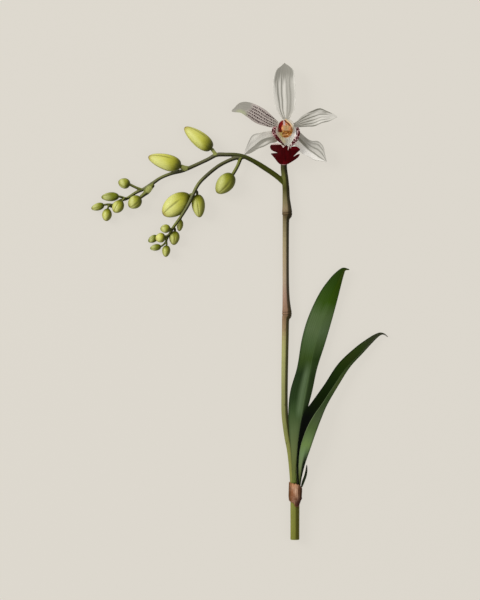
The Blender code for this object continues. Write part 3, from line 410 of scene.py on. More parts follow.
class Paint:
    """Node tree of one material: nodes are added by expressions on terms."""

    def __init__(self, name: str) -> None:
        """Start a material with one Principled shader."""
        self.material = bpy.data.materials.new(name)
        self.material.use_nodes = True
        self.tree = self.material.node_tree
        self.shader = self.tree.nodes["Principled BSDF"]

    def node(
        self, kind: str, settings: dict[str, Any], inputs: dict[int | str, Value]
    ) -> bpy.types.Node:
        """Add any node.

        Args:
            kind: the node's type.
            settings: its own settings, set first; "stops" gives a ramp's places and colours.
            inputs: a value or a term for each socket that isn't left as it is.

        Returns:
            The node.
        """
        node = self.tree.nodes.new(kind)
        for key, value in settings.items():
            if key == "stops":
                self.set_stops(node.color_ramp, value)
            else:
                setattr(node, key, value)
        for key, value in inputs.items():
            self.feed(node.inputs[key], value)
        return node

    @staticmethod
    def set_stops(ramp: bpy.types.ColorRamp, stops: Stops) -> None:
        """Give a ramp its stops, each a place from 0 to 1 and a screen colour."""
        while len(ramp.elements) < len(stops):
            ramp.elements.new(1.0)
        for element, (share, *tint) in zip(ramp.elements, stops):
            element.position = share
            element.color = screen(*tint)

    def feed(self, socket: bpy.types.NodeSocket, value: Value) -> None:
        """Link a term to a socket, or set a plain value on it."""
        if isinstance(value, Term):
            self.tree.links.new(value.socket, socket)
        else:
            socket.default_value = value

    def add(
        self,
        kind: str,
        settings: dict[str, Any] | None = None,
        inputs: dict[int | str, Value] | None = None,
        output: int | str = 0,
    ) -> Term:
        """Add any node and return one of its outputs as a term."""
        node = self.node(kind, settings or {}, inputs or {})
        return Term(self, node.outputs[output])

    def math(self, operation: str, *values: Value) -> Term:
        """Add a Math node for the values."""
        return self.add("ShaderNodeMath", {"operation": operation}, dict(enumerate(values)))

    def blend(self, share: Value, one: Term | Tint, other: Term | Tint) -> Term:
        """Colour that goes from one to the other as the share goes from 0 to 1."""
        one, other = (c if isinstance(c, Term) else screen(*c) for c in (one, other))
        return self.add("ShaderNodeMix", {"data_type": "RGBA"}, {0: share, 6: one, 7: other}, 2)

    def shade(self, colour: Value, amount: Value) -> Term:
        """Colour times a number."""
        settings = {"operation": "SCALE"}
        return self.add("ShaderNodeVectorMath", settings, {0: colour, "Scale": amount})

    def ramp(self, share: Term, stops: Stops) -> Term:
        """Colour read off a row of stops."""
        return self.add("ShaderNodeValToRGB", {"stops": stops}, {0: share})

    def mark(self, name: str) -> Term:
        """A number that the mesh carries at each point."""
        return self.add("ShaderNodeAttribute", {"attribute_name": name}, output="Fac")

    def wrap(self, name: str = "wrap") -> Term:
        """A vector that the mesh carries at each point."""
        return self.add("ShaderNodeAttribute", {"attribute_name": name}, output="Vector")

    def spot(self) -> Term:
        """Place on the piece, in metres."""
        return self.add("ShaderNodeTexCoord", output="Object")

    def plan(self) -> tuple[Term, Term]:
        """Place on the plan grid: how far right and how far down."""
        x, y, _ = self.parts(self.spot())
        return x / GRID + MIDDLE_X, MIDDLE_Y - y / GRID

    def lean(self, x: float, y: float) -> Term:
        """How far the surface faces a direction in plan, from -1 to 1 for a unit direction."""
        slope_x, slope_y, _ = self.parts(self.wrap("slope"))
        return slope_x * x + slope_y * y

    def verge(self, low: float, high: float) -> Term:
        """Smooth step from low to high of how far the surface turns away from facing up."""
        return (1 - self.parts(self.wrap("slope"))[2]).rise(low, high)

    def parts(self, vector: Term) -> tuple[Term, Term, Term]:
        """The three numbers of a vector."""
        node = self.node("ShaderNodeSeparateXYZ", {}, {0: vector})
        return Term(self, node.outputs[0]), Term(self, node.outputs[1]), Term(self, node.outputs[2])

    def vector(self, x: Value, y: Value, z: Value = 0.0) -> Term:
        """A vector from three numbers."""
        return self.add("ShaderNodeCombineXYZ", {}, {0: x, 1: y, 2: z})

    def noise(self, where: Term, scale: float, detail: float = 2.0, rough: float = 0.5) -> Term:
        """Smooth noise round 0.5 at a scale in waves to the unit."""
        inputs = {"Vector": where, "Scale": scale, "Detail": detail, "Roughness": rough}
        return self.add("ShaderNodeTexNoise", {}, inputs)

    def cells(self, where: Term, scale: float) -> Term:
        """Distance to the nearest of many scattered points."""
        return self.add("ShaderNodeTexVoronoi", {}, {"Vector": where, "Scale": scale})

    def dress(self, colour: Value, rough: Value, relief: Term | None, height: float) -> None:
        """Feed the shader what varies over the surface.

        Args:
            colour: base colour.
            rough: roughness.
            relief: height pattern from 0 to 1, or None for none.
            height: metres between the pattern's 0 and 1.
        """
        self.feed(self.shader.inputs["Base Color"], colour)
        self.feed(self.shader.inputs["Roughness"], rough)
        if relief is not None:
            inputs = {"Strength": 1.0, "Distance": height, "Height": relief}
            self.feed(self.shader.inputs["Normal"], self.add("ShaderNodeBump", {}, inputs))

    def settle(self, **values: float | Sequence[float]) -> bpy.types.Material:
        """Set constant values on the shader's own sockets and return the material."""
        for name, value in values.items():
            self.shader.inputs[name.replace("_", " ")].default_value = value
        return self.material


# Meshes


def place(points: Sequence | Array) -> Array:
    """World positions, in metres, of rows that start with plan x, plan y and height."""
    points = np.asarray(points, float)
    world = np.empty((*points.shape[:-1], 3))
    world[..., 0] = (points[..., 0] - MIDDLE_X) * GRID
    world[..., 1] = (MIDDLE_Y - points[..., 1]) * GRID
    world[..., 2] = points[..., 2] * MM
    return world


def unplace(points: Array) -> tuple[Array, Array]:
    """Plan x and plan y of points in metres."""
    return points[..., 0] / GRID + MIDDLE_X, MIDDLE_Y - points[..., 1] / GRID


def smooth(stations: Sequence | Array, steps: int) -> Array:
    """Catmull-Rom curve through rows of numbers.

    Args:
        stations: the rows that the curve runs through.
        steps: rows from each station to the next.

    Returns:
        Rows of the curve. Between two stations each number is the cubic of t, from 0 to 1,
        whose slope at either end is half the step between that station's neighbours.
    """
    rows = np.asarray(stations, float)
    start, end = rows[:-1], rows[1:]
    before = np.vstack([2 * rows[:1] - rows[1:2], rows[:-2]])
    after = np.vstack([rows[2:], 2 * rows[-1:] - rows[-2:-1]])
    t = (np.arange(steps) / steps)[None, :, None]
    p0, p1, p2, p3 = (a[:, None, :] for a in (before, start, end, after))
    curve = 0.5 * (
        2 * p1
        + (p2 - p0) * t
        + (2 * p0 - 5 * p1 + 4 * p2 - p3) * t**2
        + (3 * p1 - p0 - 3 * p2 + p3) * t**3
    )
    return np.vstack([curve.reshape(-1, rows.shape[1]), rows[-1:]])


def step(value: Array, low: float, high: float) -> Array:
    """Smooth step: 3 t squared less 2 t cubed, for t from 0 at low to 1 at high."""
    t = np.clip((value - low) / (high - low), 0, 1)
    return t * t * (3 - 2 * t)


def run_length(points: Array) -> Array:
    """Distance along a row of points, from 0 at the first to 1 at the last."""
    steps = np.linalg.norm(np.diff(points, axis=0), axis=1)
    length = np.concatenate([[0.0], np.cumsum(steps)])
    return length / length[-1]


def loop_faces(rows: int, around: int, first: int = 0) -> Faces:
    """Quads between closed loops of points that are stored loop by loop."""
    i, k = np.meshgrid(np.arange(rows - 1), np.arange(around), indexing="ij")
    a = first + i * around + k
    b = first + i * around + (k + 1) % around
    quads = np.stack([a, b, b + around, a + around], axis=-1)
    return [tuple(face) for face in quads.reshape(-1, 4).tolist()]


def closed_loops(rows: int, around: int) -> Faces:
    """Quads between closed loops of points, and one face over either end."""
    ends = tuple(range(around)), tuple(range((rows - 1) * around, rows * around))
    return [*loop_faces(rows, around), *ends]


def turns(count: int) -> Array:
    """Even turns round a circle from 0, in radians."""
    return 2 * np.pi * np.arange(count) / count


def ball(rings: int, sides: int) -> Array:
    """Rings of a ball of radius 1, from its top down, without the two poles.

    A point is the sine of its fall times the cosine of its turn, the sine of the fall times
    the sine of the turn, and the cosine of the fall.
    """
    fall, turn = np.linspace(0, np.pi, rings)[1:-1, None], turns(sides)
    parts = np.sin(fall) * np.cos(turn), np.sin(fall) * np.sin(turn), np.cos(fall)
    return np.stack(np.broadcast_arrays(*parts), axis=-1)


def bell(value: Array, width: float) -> Array:
    """Bell round 0: e to the power of less the square of the value over its width."""
    return np.exp(-((value / width) ** 2))


def cap_strip(first: int, columns: int, around: int) -> Faces:
    """Faces across the flat end of a blade, between its front and its back points."""
    front = np.arange(columns)
    back = (around - front) % around
    pairs = np.stack([front[:-1], front[1:], back[1:], back[:-1]], axis=-1) + first
    return [tuple(dict.fromkeys(face)) for face in pairs.tolist()]


@dataclass
class Skin:
    """A closed surface as arrays: its points, faces and the marks that its points carry."""

    points: Array
    faces: Faces
    marks: dict[str, Array] = field(default_factory=dict)

    def mesh(self, name: str) -> bpy.types.Mesh:
        """Blender mesh of the surface, smooth, its faces turned outwards."""
        mesh = bpy.data.meshes.new(name)
        mesh.from_pydata(self.points.reshape(-1, 3).tolist(), [], self.faces)
        for mark, values in self.marks.items():
            add_mark(mesh, mark, values)
        bm = bmesh.new()
        bm.from_mesh(mesh)
        bmesh.ops.recalc_face_normals(bm, faces=bm.faces)
        bm.to_mesh(mesh)
        bm.free()
        mesh.shade_smooth()
        return mesh


def add_mark(mesh: bpy.types.Mesh, name: str, values: Array) -> None:
    """Store numbers, or vectors, at the points of a mesh."""
    vectors = values.ndim > 1 and values.shape[-1] == 3
    kind, slot = ("FLOAT_VECTOR", "vector") if vectors else ("FLOAT", "value")
    data = mesh.attributes.new(name, kind, "POINT").data
    data.foreach_set(slot, np.ascontiguousarray(values, dtype=np.float32).ravel())


def new_object(name: str, mesh: bpy.types.Mesh) -> bpy.types.Object:
    """Link an object that holds the mesh, at the origin."""
    obj = bpy.data.objects.new(name, mesh)
    bpy.context.scene.collection.objects.link(obj)
    return obj


def settled(obj: bpy.types.Object) -> bpy.types.Mesh:
    """Mesh of an object with its modifiers applied; the object goes."""
    graph = bpy.context.evaluated_depsgraph_get()
    mesh = bpy.data.meshes.new_from_object(obj.evaluated_get(graph))
    bpy.data.objects.remove(obj)
    return mesh


def mark_slope(mesh: bpy.types.Mesh) -> None:
    """Store the way that the surface faces at each point, as the mark slope."""
    facing = np.empty(len(mesh.vertices) * 3, np.float32)
    mesh.vertex_normals.foreach_get("vector", facing)
    add_mark(mesh, "slope", facing.reshape(-1, 3))


def plant(node: str, mesh: bpy.types.Mesh, finish: bpy.types.Material) -> None:
    """Put a finished mesh in the scene as the piece that stands for a node.

    Args:
        node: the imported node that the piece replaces; the piece is named after it.
        mesh: the finished mesh, with its place in its points.
        finish: the material.
    """
    mark_slope(mesh)
    mesh.materials.clear()
    mesh.materials.append(finish)
    piece = new_object("fine_" + node, mesh)
    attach(piece, "root")
    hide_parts(node)
    log.info("%s: %d faces", piece.name, len(mesh.polygons))


# Finishes


@dataclass(frozen=True)
class StemSkin:
    """Rind of the stalk, which goes from olive at the cut to tan and then dark olive, with painted shade
    on the side turned from the light and along its edges.
    """

    stops: Stops = (
        (0.0, 124, 126, 48), (0.115, 135, 137, 66), (0.194, 131, 134, 73), (0.247, 142, 142, 86),
        (0.3, 160, 160, 100), (0.344, 170, 168, 106), (0.371, 157, 133, 95), (0.392, 138, 109, 80),
        (0.402, 144, 112, 87), (0.432, 168, 136, 116), (0.459, 174, 154, 128),
        (0.494, 172, 153, 120), (0.529, 158, 144, 107), (0.56, 128, 116, 82), (0.575, 96, 76, 46),
        (0.583, 148, 130, 99), (0.6, 126, 117, 79), (0.62, 74, 72, 20), (0.64, 106, 108, 48),
        (0.657, 64, 62, 28), (0.68, 84, 80, 56), (0.72, 76, 82, 2), (0.78, 66, 72, 2),
        (0.805, 78, 82, 38), (0.84, 110, 108, 82), (0.87, 98, 98, 60), (0.895, 90, 90, 64),
        (0.915, 132, 135, 80), (0.93, 110, 112, 74), (0.95, 118, 120, 76), (0.97, 128, 132, 66),
        (1.0, 122, 130, 50),
    )
    # Joints of the twigs painted paler: partly their own paler green, partly painted light that lifts a
    # bud's shadow off its stalk; plan x, plan y and reach
    nodes: Rows = ((184.6, 167.4, 4.2), (214.6, 152.4, 3.6), (149.2, 189.6, 4.6))
    fibre_height: float = 0.00008
    gloss: float = 0.14

    def material(self) -> bpy.types.Material:
        """Build the material from the marks age, wrap, ring, cut and slope."""
        paint = Paint("stem_skin")
        age, wrap = paint.mark("age"), paint.wrap()
        fibres = paint.noise(wrap, 9.0, 3.0)
        blotches = paint.noise(paint.spot(), 120.0, 3.0)
        colour = paint.ramp(age, self.stops)
        colour = paint.shade(colour, 0.72 + 0.34 * fibres + 0.22 * blotches)
        # Painted shade: dark olive on the flank turned away from the light, and on the edges turned from
        # facing up
        dark = paint.blend(age.rise(0.02, 0.15), (76, 74, 4), (50, 48, 8))
        dark = paint.blend(age.rise(0.35, 0.45), dark, (30, 26, 2))
        dark = paint.blend(age.rise(0.66, 0.7) * age.rise(0.84, 0.8), dark, (28, 28, 2))
        flank = paint.lean(0.9, -0.75).rise(-0.25, 0.5)
        colour = paint.blend(flank * 0.92, colour, dark)
        colour = paint.blend(paint.verge(0.6, 1.0) * 0.5, colour, dark)
        x, y, _ = paint.parts(paint.spot())
        # Paler joints: their own paler green, lifted further as painted light where a bud shades its
        # stalk
        for place_x, place_y, reach in self.nodes:
            across = (x / GRID + (MIDDLE_X - place_x)) / reach
            along = (y / GRID + (place_y - MIDDLE_Y)) / reach
            near = (across * across + along * along).rise(1.0, 0.3)
            colour = paint.blend(near * 0.85, colour, (168, 172, 98))
        ring = paint.mark("ring").rise(0.3, 0.9)
        colour = paint.blend(ring * 0.7, colour, (52, 36, 22))
        freckle = paint.cells(paint.spot(), 90.0).rise(0.10, 0.05)
        colour = paint.blend(freckle * 0.5, colour, (60, 50, 24))
        cut = paint.mark("cut").rise(0.4, 0.6)
        colour = paint.blend(cut, colour, self.cut_end(paint))
        rough = 0.46 + 0.2 * blotches
        paint.dress(colour, rough, fibres, self.fibre_height)
        return paint.settle(Specular_IOR_Level=self.gloss)

    @staticmethod
    def cut_end(paint: Paint) -> Term:
        """Pale pith of the cut end, dotted with the ends of its fibres."""
        dots = paint.cells(paint.spot(), 1500.0).rise(0.34, 0.22)
        return paint.blend(dots, (186, 190, 128), (120, 128, 62))


@dataclass(frozen=True)
class LeafSkin:
    """Leathery skin of a strap leaf, each half with its colours from base to tip, which hold
    painted light and shade along with the leaf's own greens.

    The edge colour is painted shade along the rim and, by foot, a painted shadow on the right
    flank of the base. By painted_sheen, a band of painted shade and a band of painted highlight
    lie beside the middle of the leaf, and by rib a painted highlight runs down the midrib's fold.
    """

    name: str
    left: Stops
    right: Stops
    edge: Tint
    rib: float
    gloss: float = 0.06
    foot: float = 0.0
    painted_sheen: float = 0.0
    vein_height: float = 0.00005

    def material(self) -> bpy.types.Material:
        """Build the material from the marks along and across."""
        paint = Paint(self.name)
        along, across = paint.mark("along"), paint.mark("across")
        fine = paint.noise(paint.vector(across * 26, along * 5), 1.0, 2.0)
        broad = paint.noise(paint.vector(across * 2.4, along * 7, 3.0), 1.0, 2.0)
        veins = (across * 46).sine() * 0.5 + 0.5
        place_along = along + (broad - 0.5) * 0.05
        # The ramps of either half hold painted light and shade along with the leaf's greens
        halves = paint.ramp(place_along, self.left), paint.ramp(place_along, self.right)
        colour = paint.blend(across.rise(-0.1, 0.08), *halves)
        # Painted shade along the rim
        rim = abs(across).rise(0.8, 1.0)
        colour = paint.blend(rim * 0.55, colour, self.edge)
        # Painted shadow on the right flank of the base, as strong as foot
        foot = across.rise(0.45, 0.75) * along.rise(0.24, 0.12) * self.foot
        colour = paint.blend(foot, colour, self.edge)
        # Painted sheen: a band of painted shade and a band of painted highlight beside the middle
        span = along.rise(0.27, 0.33) * along.rise(0.56, 0.47) * self.painted_sheen
        colour = paint.blend(across.rise(-0.02, 0.24) * span * 0.95, colour, (36, 54, 20))
        colour = paint.blend(across.hill(-0.2, 0.38) * span, colour, (90, 110, 74))
        # Painted highlight along the midrib's fold
        rib = abs(across + 0.01).rise(0.06, 0.0) * along.rise(0.85, 0.4) * along.rise(0.0, 0.1)
        colour = paint.blend(rib * self.rib, colour, (136, 156, 108))
        colour = paint.shade(colour, 0.78 + 0.32 * fine + 0.12 * veins)
        rough = 0.42 + 0.16 * fine
        paint.dress(colour, rough, veins * 0.5 + fine * 0.5, self.vein_height)
        return paint.settle(Specular_IOR_Level=self.gloss)


@dataclass(frozen=True)
class BudSkin:
    """Waxy skin of a closed bud: dark olive at its foot, yellower above, a brown tip, with a painted
    highlight towards the light and painted shade on the far side and round its edges.
    """

    name: str = "bud_skin"
    grain_height: float = 0.00005
    gloss: float = 0.22
    stops: Stops = (
        (0.0, 74, 74, 8), (0.1, 112, 112, 14), (0.22, 164, 163, 44), (0.38, 198, 197, 74),
        (0.55, 214, 213, 100), (0.75, 220, 218, 114), (0.9, 206, 203, 104), (0.97, 176, 162, 76),
        (1.0, 112, 84, 40),
    )

    def material(self) -> bpy.types.Material:
        """Build the material from the marks along, seam, tone, wrap and slope."""
        paint = Paint(self.name)
        along, tone = paint.mark("along"), paint.mark("tone")
        grain = paint.noise(paint.wrap(), 5.0, 3.0)
        colour = paint.ramp(along + (grain - 0.5) * 0.10, self.stops)
        # Greener by tone; on bud_c1 this darker green is painted shade
        colour = paint.blend(tone, colour, (100, 112, 0))
        # Painted highlight on the side towards the light
        glint = paint.lean(-0.75, -0.1).hill(0.3, 0.42) * along.rise(0.1, 0.4) * along.rise(1.0, 0.8)
        colour = paint.blend(glint * 0.45, colour, (236, 238, 160))
        # Painted shade: dark olive on the side turned from the light and round the edges
        dark = paint.blend(along.rise(0.1, 0.5), (60, 62, 4), (86, 88, 8))
        flank = paint.lean(0.85, -0.42).rise(-0.02, 0.7)
        colour = paint.blend(flank * 0.9, colour, dark)
        colour = paint.blend(paint.verge(0.62, 0.94) * 0.85, colour, dark)
        seam = paint.mark("seam").rise(0.25, 1.0)
        colour = paint.blend(seam * 0.6, colour, (104, 100, 20))
        speckle = paint.cells(paint.spot(), 700.0).rise(0.2, 0.06)
        colour = paint.blend(speckle * 0.15, colour, (128, 134, 40))
        colour = paint.shade(colour, 0.88 + 0.24 * grain)
        paint.dress(colour, 0.4 + 0.14 * grain, grain, self.grain_height)
        return paint.settle(Specular_IOR_Level=self.gloss)


class Marking(Enum):
    """How a sepal or petal is marked."""

    # The grey tip is painted shade where the hood bends over
    STRIPES = "two dark lines on one half, grey on the other, a grey tip"
    DASHES = "rows of maroon dashes on blush, a plain grey tip"
    VEINS = "grey veins on grey at the base, paler towards the tip"
    # The grey below the fold is painted shade
    LOWER = "grey below a fold, white above it"
    UPPER = "veined grey above a dark fold, white below it"


@dataclass(frozen=True)
class TepalSkin:
    """Thin white skin of a sepal or petal, with its own marking; its grey draws veins and, in some
    markings, painted shade.
    """

    name: str
    marking: Marking
    lines: float
    white: Tint = (230, 226, 216)
    grey: Tint = (150, 147, 136)
    vein_height: float = 0.00004
    gloss: float = 0.2

    def material(self) -> bpy.types.Material:
        """Build the material from the marks along and across."""
        paint = Paint(self.name)
        along, across = paint.mark("along"), paint.mark("across")
        sway = paint.noise(paint.vector(across * 2.0, along * 3.4, self.lines), 1.0, 2.0) - 0.5
        cloud = paint.noise(paint.vector(across * 1.6, along * 2.6, 7.0), 1.0, 3.0)
        bent = across + sway * 0.22
        drawings = {
            Marking.STRIPES: self.stripes,
            Marking.DASHES: self.dashes,
            Marking.VEINS: self.veins,
            Marking.LOWER: self.lower,
            Marking.UPPER: self.upper,
        }
        colour = drawings[self.marking](paint, along, bent, cloud)
        fine = paint.noise(paint.vector(across * 24, along * 4), 1.0, 2.0)
        colour = paint.shade(colour, 0.93 + 0.14 * fine)
        stripe = abs((bent * self.lines).fract() - 0.5).rise(0.36, 0.08)
        paint.dress(colour, 0.5 + 0.12 * fine, stripe * 0.6 + fine * 0.4, self.vein_height)
        return paint.settle(Specular_IOR_Level=self.gloss)

    def stripes(self, paint: Paint, along: Term, across: Term, cloud: Term) -> Term:
        """Two dark lines on the left, a grey right half, and a grey tip with a frayed end; the tip's grey
        is painted shade where it bends over.
        """
        fray = paint.noise(paint.vector(across * 7, 0.0, 2.0), 1.0, 2.0) - 0.5
        frayed = along + fray * 0.55 + across.rise(-0.55, -0.8) * 0.12
        # Painted shade on the bent-over tip
        tip = frayed.rise(0.62, 0.84) * abs(across).rise(1.0, 0.82) * 0.92
        lines = across.hill(-0.60, 0.16).larger(across.hill(-0.27, 0.14)) * along.rise(0.0, 0.08)
        lanes = across.hill(0.22, 0.12) * 0.3 + across.hill(0.5, 0.16) * 0.42
        right = (across.rise(0.02, 0.14) * 0.5 + lanes) * across.rise(0.96, 0.8)
        throat = along.rise(0.15, 0.07) * 0.9
        share = lines.larger(tip).larger(right).larger(throat)
        share = share * across.rise(-0.98, -0.74).larger(along.rise(0.56, 0.72))
        return paint.blend(share, self.white, self.grey)

    def veins(self, paint: Paint, along: Term, across: Term, cloud: Term) -> Term:
        """Dark wavy veins over grey that thins out towards a pale tip."""
        band = abs((across * self.lines + 0.25).fract() - 0.5).rise(0.24, 0.04)
        body = along.rise(0.66, 0.3) * 0.5
        veins = band * (0.4 + 0.6 * cloud.rise(0.35, 0.55)) * along.rise(0.95, 0.75)
        upper = across.rise(-0.7, -0.92) * along.rise(0.3, 0.5) * along.rise(0.93, 0.86)
        patch = across.rise(-0.3, -0.6) * along.rise(0.55, 0.66) * along.rise(0.86, 0.76)
        patch = patch * cloud.rise(0.35, 0.6)
        lower = across.rise(0.75, 0.95) * along.rise(0.2, 0.3) * 0.6
        share = (body + veins * 0.85).larger(upper).larger(lower).larger(patch * 0.9)
        return paint.blend(share.smaller(1.0), self.white, (124, 121, 108))

    def lower(self, paint: Paint, along: Term, across: Term, cloud: Term) -> Term:
        """Painted shade in grey below the fold, with a pale streak; white above it with a thin grey edge.
        """
        # Painted shade: the half below the fold, turned from the light, is grey
        grey = across.rise(-0.14, 0.05) * (0.75 + 0.5 * cloud)
        streak = across.hill(0.66, 0.3) * along.hill(0.46, 0.24)
        line = across.hill(-0.45, 0.08) * along.rise(0.2, 0.5) * 0.35
        edge = abs(across).rise(0.86, 0.97) * along.rise(0.45, 0.6)
        share = (grey * (1 - streak * 0.9)).larger(line).larger(edge * 0.7)
        colour = paint.blend(share.smaller(1.0), self.white, self.grey)
        throat = along.rise(0.3, 0.16)
        return paint.blend(throat * 0.7, colour, (150, 136, 122))

    def upper(self, paint: Paint, along: Term, across: Term, cloud: Term) -> Term:
        """Dark fold, veined grey above it, white below it, whitened further as painted light, with a thin
        grey edge.
        """
        fold = across.hill(0.0, 0.15)
        veins = across.hill(-0.5, 0.16).larger(across.hill(-0.8, 0.12)) * (0.4 + 0.9 * cloud)
        above = across.rise(0.0, -0.15) * (0.18 + along.rise(0.6, 0.4) * 0.5)
        edge = across.rise(-0.88, -0.97) * 0.7 + across.rise(0.9, 0.97) * along.rise(0.5, 0.7) * 0.5
        share = fold.larger(veins * along.rise(0.25, 0.4)).larger(above).larger(edge)
        share = share.larger(across.hill(-0.2, 0.4) * along.rise(0.6, 0.3))
        # Below the fold the white is whiter still: painted light that lifts the lip's shadow
        clear = paint.blend(across.rise(0.0, 0.3), self.white, (252, 248, 240))
        colour = paint.blend(share.smaller(1.0), clear, self.grey)
        olive = along.rise(0.6, 0.4) * across.hill(-0.1, 0.32) * 0.8
        return paint.blend(olive, colour, (134, 130, 115))

    def dashes(self, paint: Paint, along: Term, across: Term, cloud: Term) -> Term:
        """Rows of maroon dashes on blush, and a plain grey tip with a green lower edge."""
        tip = (along - across * 0.05 + (cloud - 0.5) * 0.16).rise(0.60, 0.72)
        blush = paint.blend(cloud.rise(0.3, 0.7), (196, 184, 176), (174, 162, 154))
        colour = paint.blend(tip, blush, (162, 158, 147))
        colour = paint.blend(along.rise(0.3, 0.14) * 0.7, colour, (196, 190, 178))
        green = tip * across.rise(0.1, 0.7) * along.rise(0.95, 0.84)
        colour = paint.blend(green * 0.85, colour, (178, 181, 146))
        rows = across * (2.9 - along.rise(0.36, 0.1)) + 0.5
        jitter = paint.noise(paint.vector(rows.floor() * 3.7, along * 20), 1.0, 1.0) - 0.5
        lane = abs((rows + jitter * 0.3).fract() - 0.5)
        beat = abs((along * 28 + rows.floor() * 0.37 + jitter).fract() - 0.5)
        reach = lane.rise(0.28, 0.2) * beat.rise(0.38, 0.28)
        edge = (along - across * 0.05 + (cloud - 0.5) * 0.1).rise(0.68, 0.62)
        zone = along.rise(0.06, 0.14) * edge * abs(across).rise(0.99, 0.93)
        return paint.blend(reach * zone, colour, (44, 10, 16))


@dataclass(frozen=True)
class LipSkin:
    """Skin of the lip: white trough, checked rims, yellow callus and maroon middle lobe."""

    maroon: Tint = (66, 0, 3)
    crimson: Tint = (118, 4, 20)
    nap_height: float = 0.00006
    gloss: float = 0.04

    def material(self) -> bpy.types.Material:
        """Build the material from the marks along, across, lobe and rim, and plan places."""
        paint = Paint("lip_skin")
        plan_x, plan_y = paint.plan()
        cloud = paint.noise(paint.spot(), 420.0, 3.0)
        nap = paint.noise(paint.spot(), 2600.0, 2.0)
        trough = self.trough(paint, plan_x, plan_y, cloud)
        lobe = self.lobe(paint, plan_x, plan_y, cloud)
        colour = paint.blend(paint.mark("lobe").rise(0.4, 0.6), trough, lobe)
        colour = paint.shade(colour, 0.88 + 0.24 * nap)
        paint.dress(colour, 0.5 + 0.1 * nap, nap, self.nap_height)
        return paint.settle(Specular_IOR_Level=self.gloss)

    def trough(self, paint: Paint, plan_x: Term, plan_y: Term, cloud: Term) -> Term:
        """White walls, checked rims and a marked yellow callus between them, with painted light on the
        wall beside the column.
        """
        along, across = paint.mark("along"), paint.mark("across")
        wall = paint.blend(plan_x.rise(279.0, 290.0), (236, 224, 196), (226, 226, 216))
        wall = paint.blend(cloud.rise(0.4, 0.62) * 0.35, wall, (176, 168, 158))
        # The right wall's own pale colour, whitened further as painted light that lifts the column's
        # shadow
        right = plan_x.rise(289.5, 292.0) * plan_y.rise(139.0, 135.0)
        wall = paint.blend(right * 0.9, wall, (252, 254, 248))
        blush = plan_x.rise(279.6, 277.6) * plan_y.rise(137.0, 133.0)
        wall = paint.blend(blush * 0.8, wall, (204, 190, 182))
        lime = (plan_x - plan_y * 0.5).hill(213.0, 2.6)
        lime = lime * plan_y.rise(132.4, 134.0) * plan_y.rise(144.0, 142.0)
        wall = paint.blend(lime * 0.8, wall, (240, 230, 184))
        side, down = (plan_x - 285.6) / 7.2, (plan_y - 130.3) / 8.2
        oval = (side * side + down * down + (cloud - 0.5) * 0.3).rise(1.0, 0.84)
        # The callus's own yellow and orange, made paler as painted light against the column's shade
        glow = paint.blend(plan_x.rise(281.0, 283.5), (222, 208, 132), (240, 178, 96))
        wall = paint.blend(oval * paint.mark("face"), wall, glow)
        bend = paint.noise(paint.vector(plan_x * 0.55, plan_y * 0.55, 4.0), 1.0, 1.0)
        lines = ((plan_y + plan_x * 0.12 + bend * 5.0) * 2.0).sine().rise(-0.1, 0.6)
        zone = plan_y.rise(131.5, 132.6) * plan_y.rise(139.0, 137.4)
        zone = zone * plan_x.rise(281.6, 283.0) * plan_x.rise(292.4, 290.6)
        wall = paint.blend(lines * zone * 0.85, wall, (136, 58, 6))
        beads = paint.cells(paint.vector(plan_x * 0.5, plan_y * 0.6, 2.0), 1.0).rise(0.42, 0.24)
        beads = beads * plan_y.rise(133.0, 133.8) * plan_y.rise(137.0, 136.2) * zone
        wall = paint.blend(beads, wall, (252, 204, 160))
        red = plan_y.rise(133.2, 132.4) * plan_x.rise(277.4, 278.4) * plan_x.rise(282.4, 281.4)
        wall = paint.blend(red * 0.95, wall, (128, 4, 6))
        rim = (abs(across) + along.rise(0.45, 0.95) * 0.3).rise(0.71, 0.76)
        blobs = paint.cells(paint.vector(plan_x * 0.66, plan_y * 0.66, 5.3), 1.0).rise(0.7, 0.58)
        pale = paint.blend(plan_x.rise(278.0, 290.0), (214, 168, 166), (226, 196, 194))
        rim_colour = paint.blend(blobs, pale, (74, 4, 12))
        low_left = plan_y.rise(136.0, 140.0) * plan_x.rise(284.0, 280.0)
        rim_colour = paint.blend(low_left * 0.75, rim_colour, (78, 10, 16))
        wall = paint.blend(rim * along.rise(0.16, 0.26), wall, rim_colour)
        root = self.root(plan_x, plan_y).rise(-0.25, 0.25)
        return paint.blend(root, wall, self.maroon)

    @staticmethod
    def root(plan_x: Term, plan_y: Term) -> Term:
        """How far below the jagged line, where the pale throat meets the maroon, a place lies."""
        slanted = plan_x + (plan_y - 148.0) * 0.3
        teeth = plan_x.hill(283.2, 1.4) * 1.5 - plan_x.hill(286.1, 1.7) * 1.3
        spikes = slanted.hill(288.5, 1.0) * 4.2 + plan_x.hill(290.6, 0.8) * 2.2
        edge = plan_x.rise(282.4, 280.4) * 1.6 + plan_x.rise(291.6, 293.0) * 0.6
        return plan_y - 146.7 - teeth - spikes + edge

    def lobe(self, paint: Paint, plan_x: Term, plan_y: Term, cloud: Term) -> Term:
        """Velvety maroon with painted shade in its creases, crimson where it turns to the light, with a
        pale jagged root.
        """
        bright = plan_x.rise(289.0, 293.0) * plan_y.rise(152.0, 147.5)
        bright = bright.larger(plan_x.hill(284.5, 4.0) * plan_y.rise(159.0, 163.5) * 0.7)
        share = (bright * 0.7 + (cloud - 0.5) * 0.4).larger(0.0)
        colour = paint.blend(share, self.maroon, self.crimson)
        # Painted shade in the creases of the velvet
        crease_shade = paint.noise(paint.vector(plan_x * 0.8, plan_y * 0.14, 1.0), 1.0, 2.0)
        colour = paint.blend(crease_shade.rise(0.5, 0.66) * 0.5, colour, (40, 0, 2))
        pale = self.root(plan_x, plan_y).rise(0.25, -0.25)
        colour = paint.blend(pale, colour, (214, 192, 184))
        rim = paint.mark("rim").rise(0.5, 0.12)
        foot = plan_y.rise(163.5, 164.8) * plan_x.hill(283.5, 3.5)
        top = plan_y.rise(144.9, 143.9) * plan_x.rise(284.0, 281.0)
        return paint.blend(rim * foot.larger(top) * 0.9, colour, (222, 180, 182))


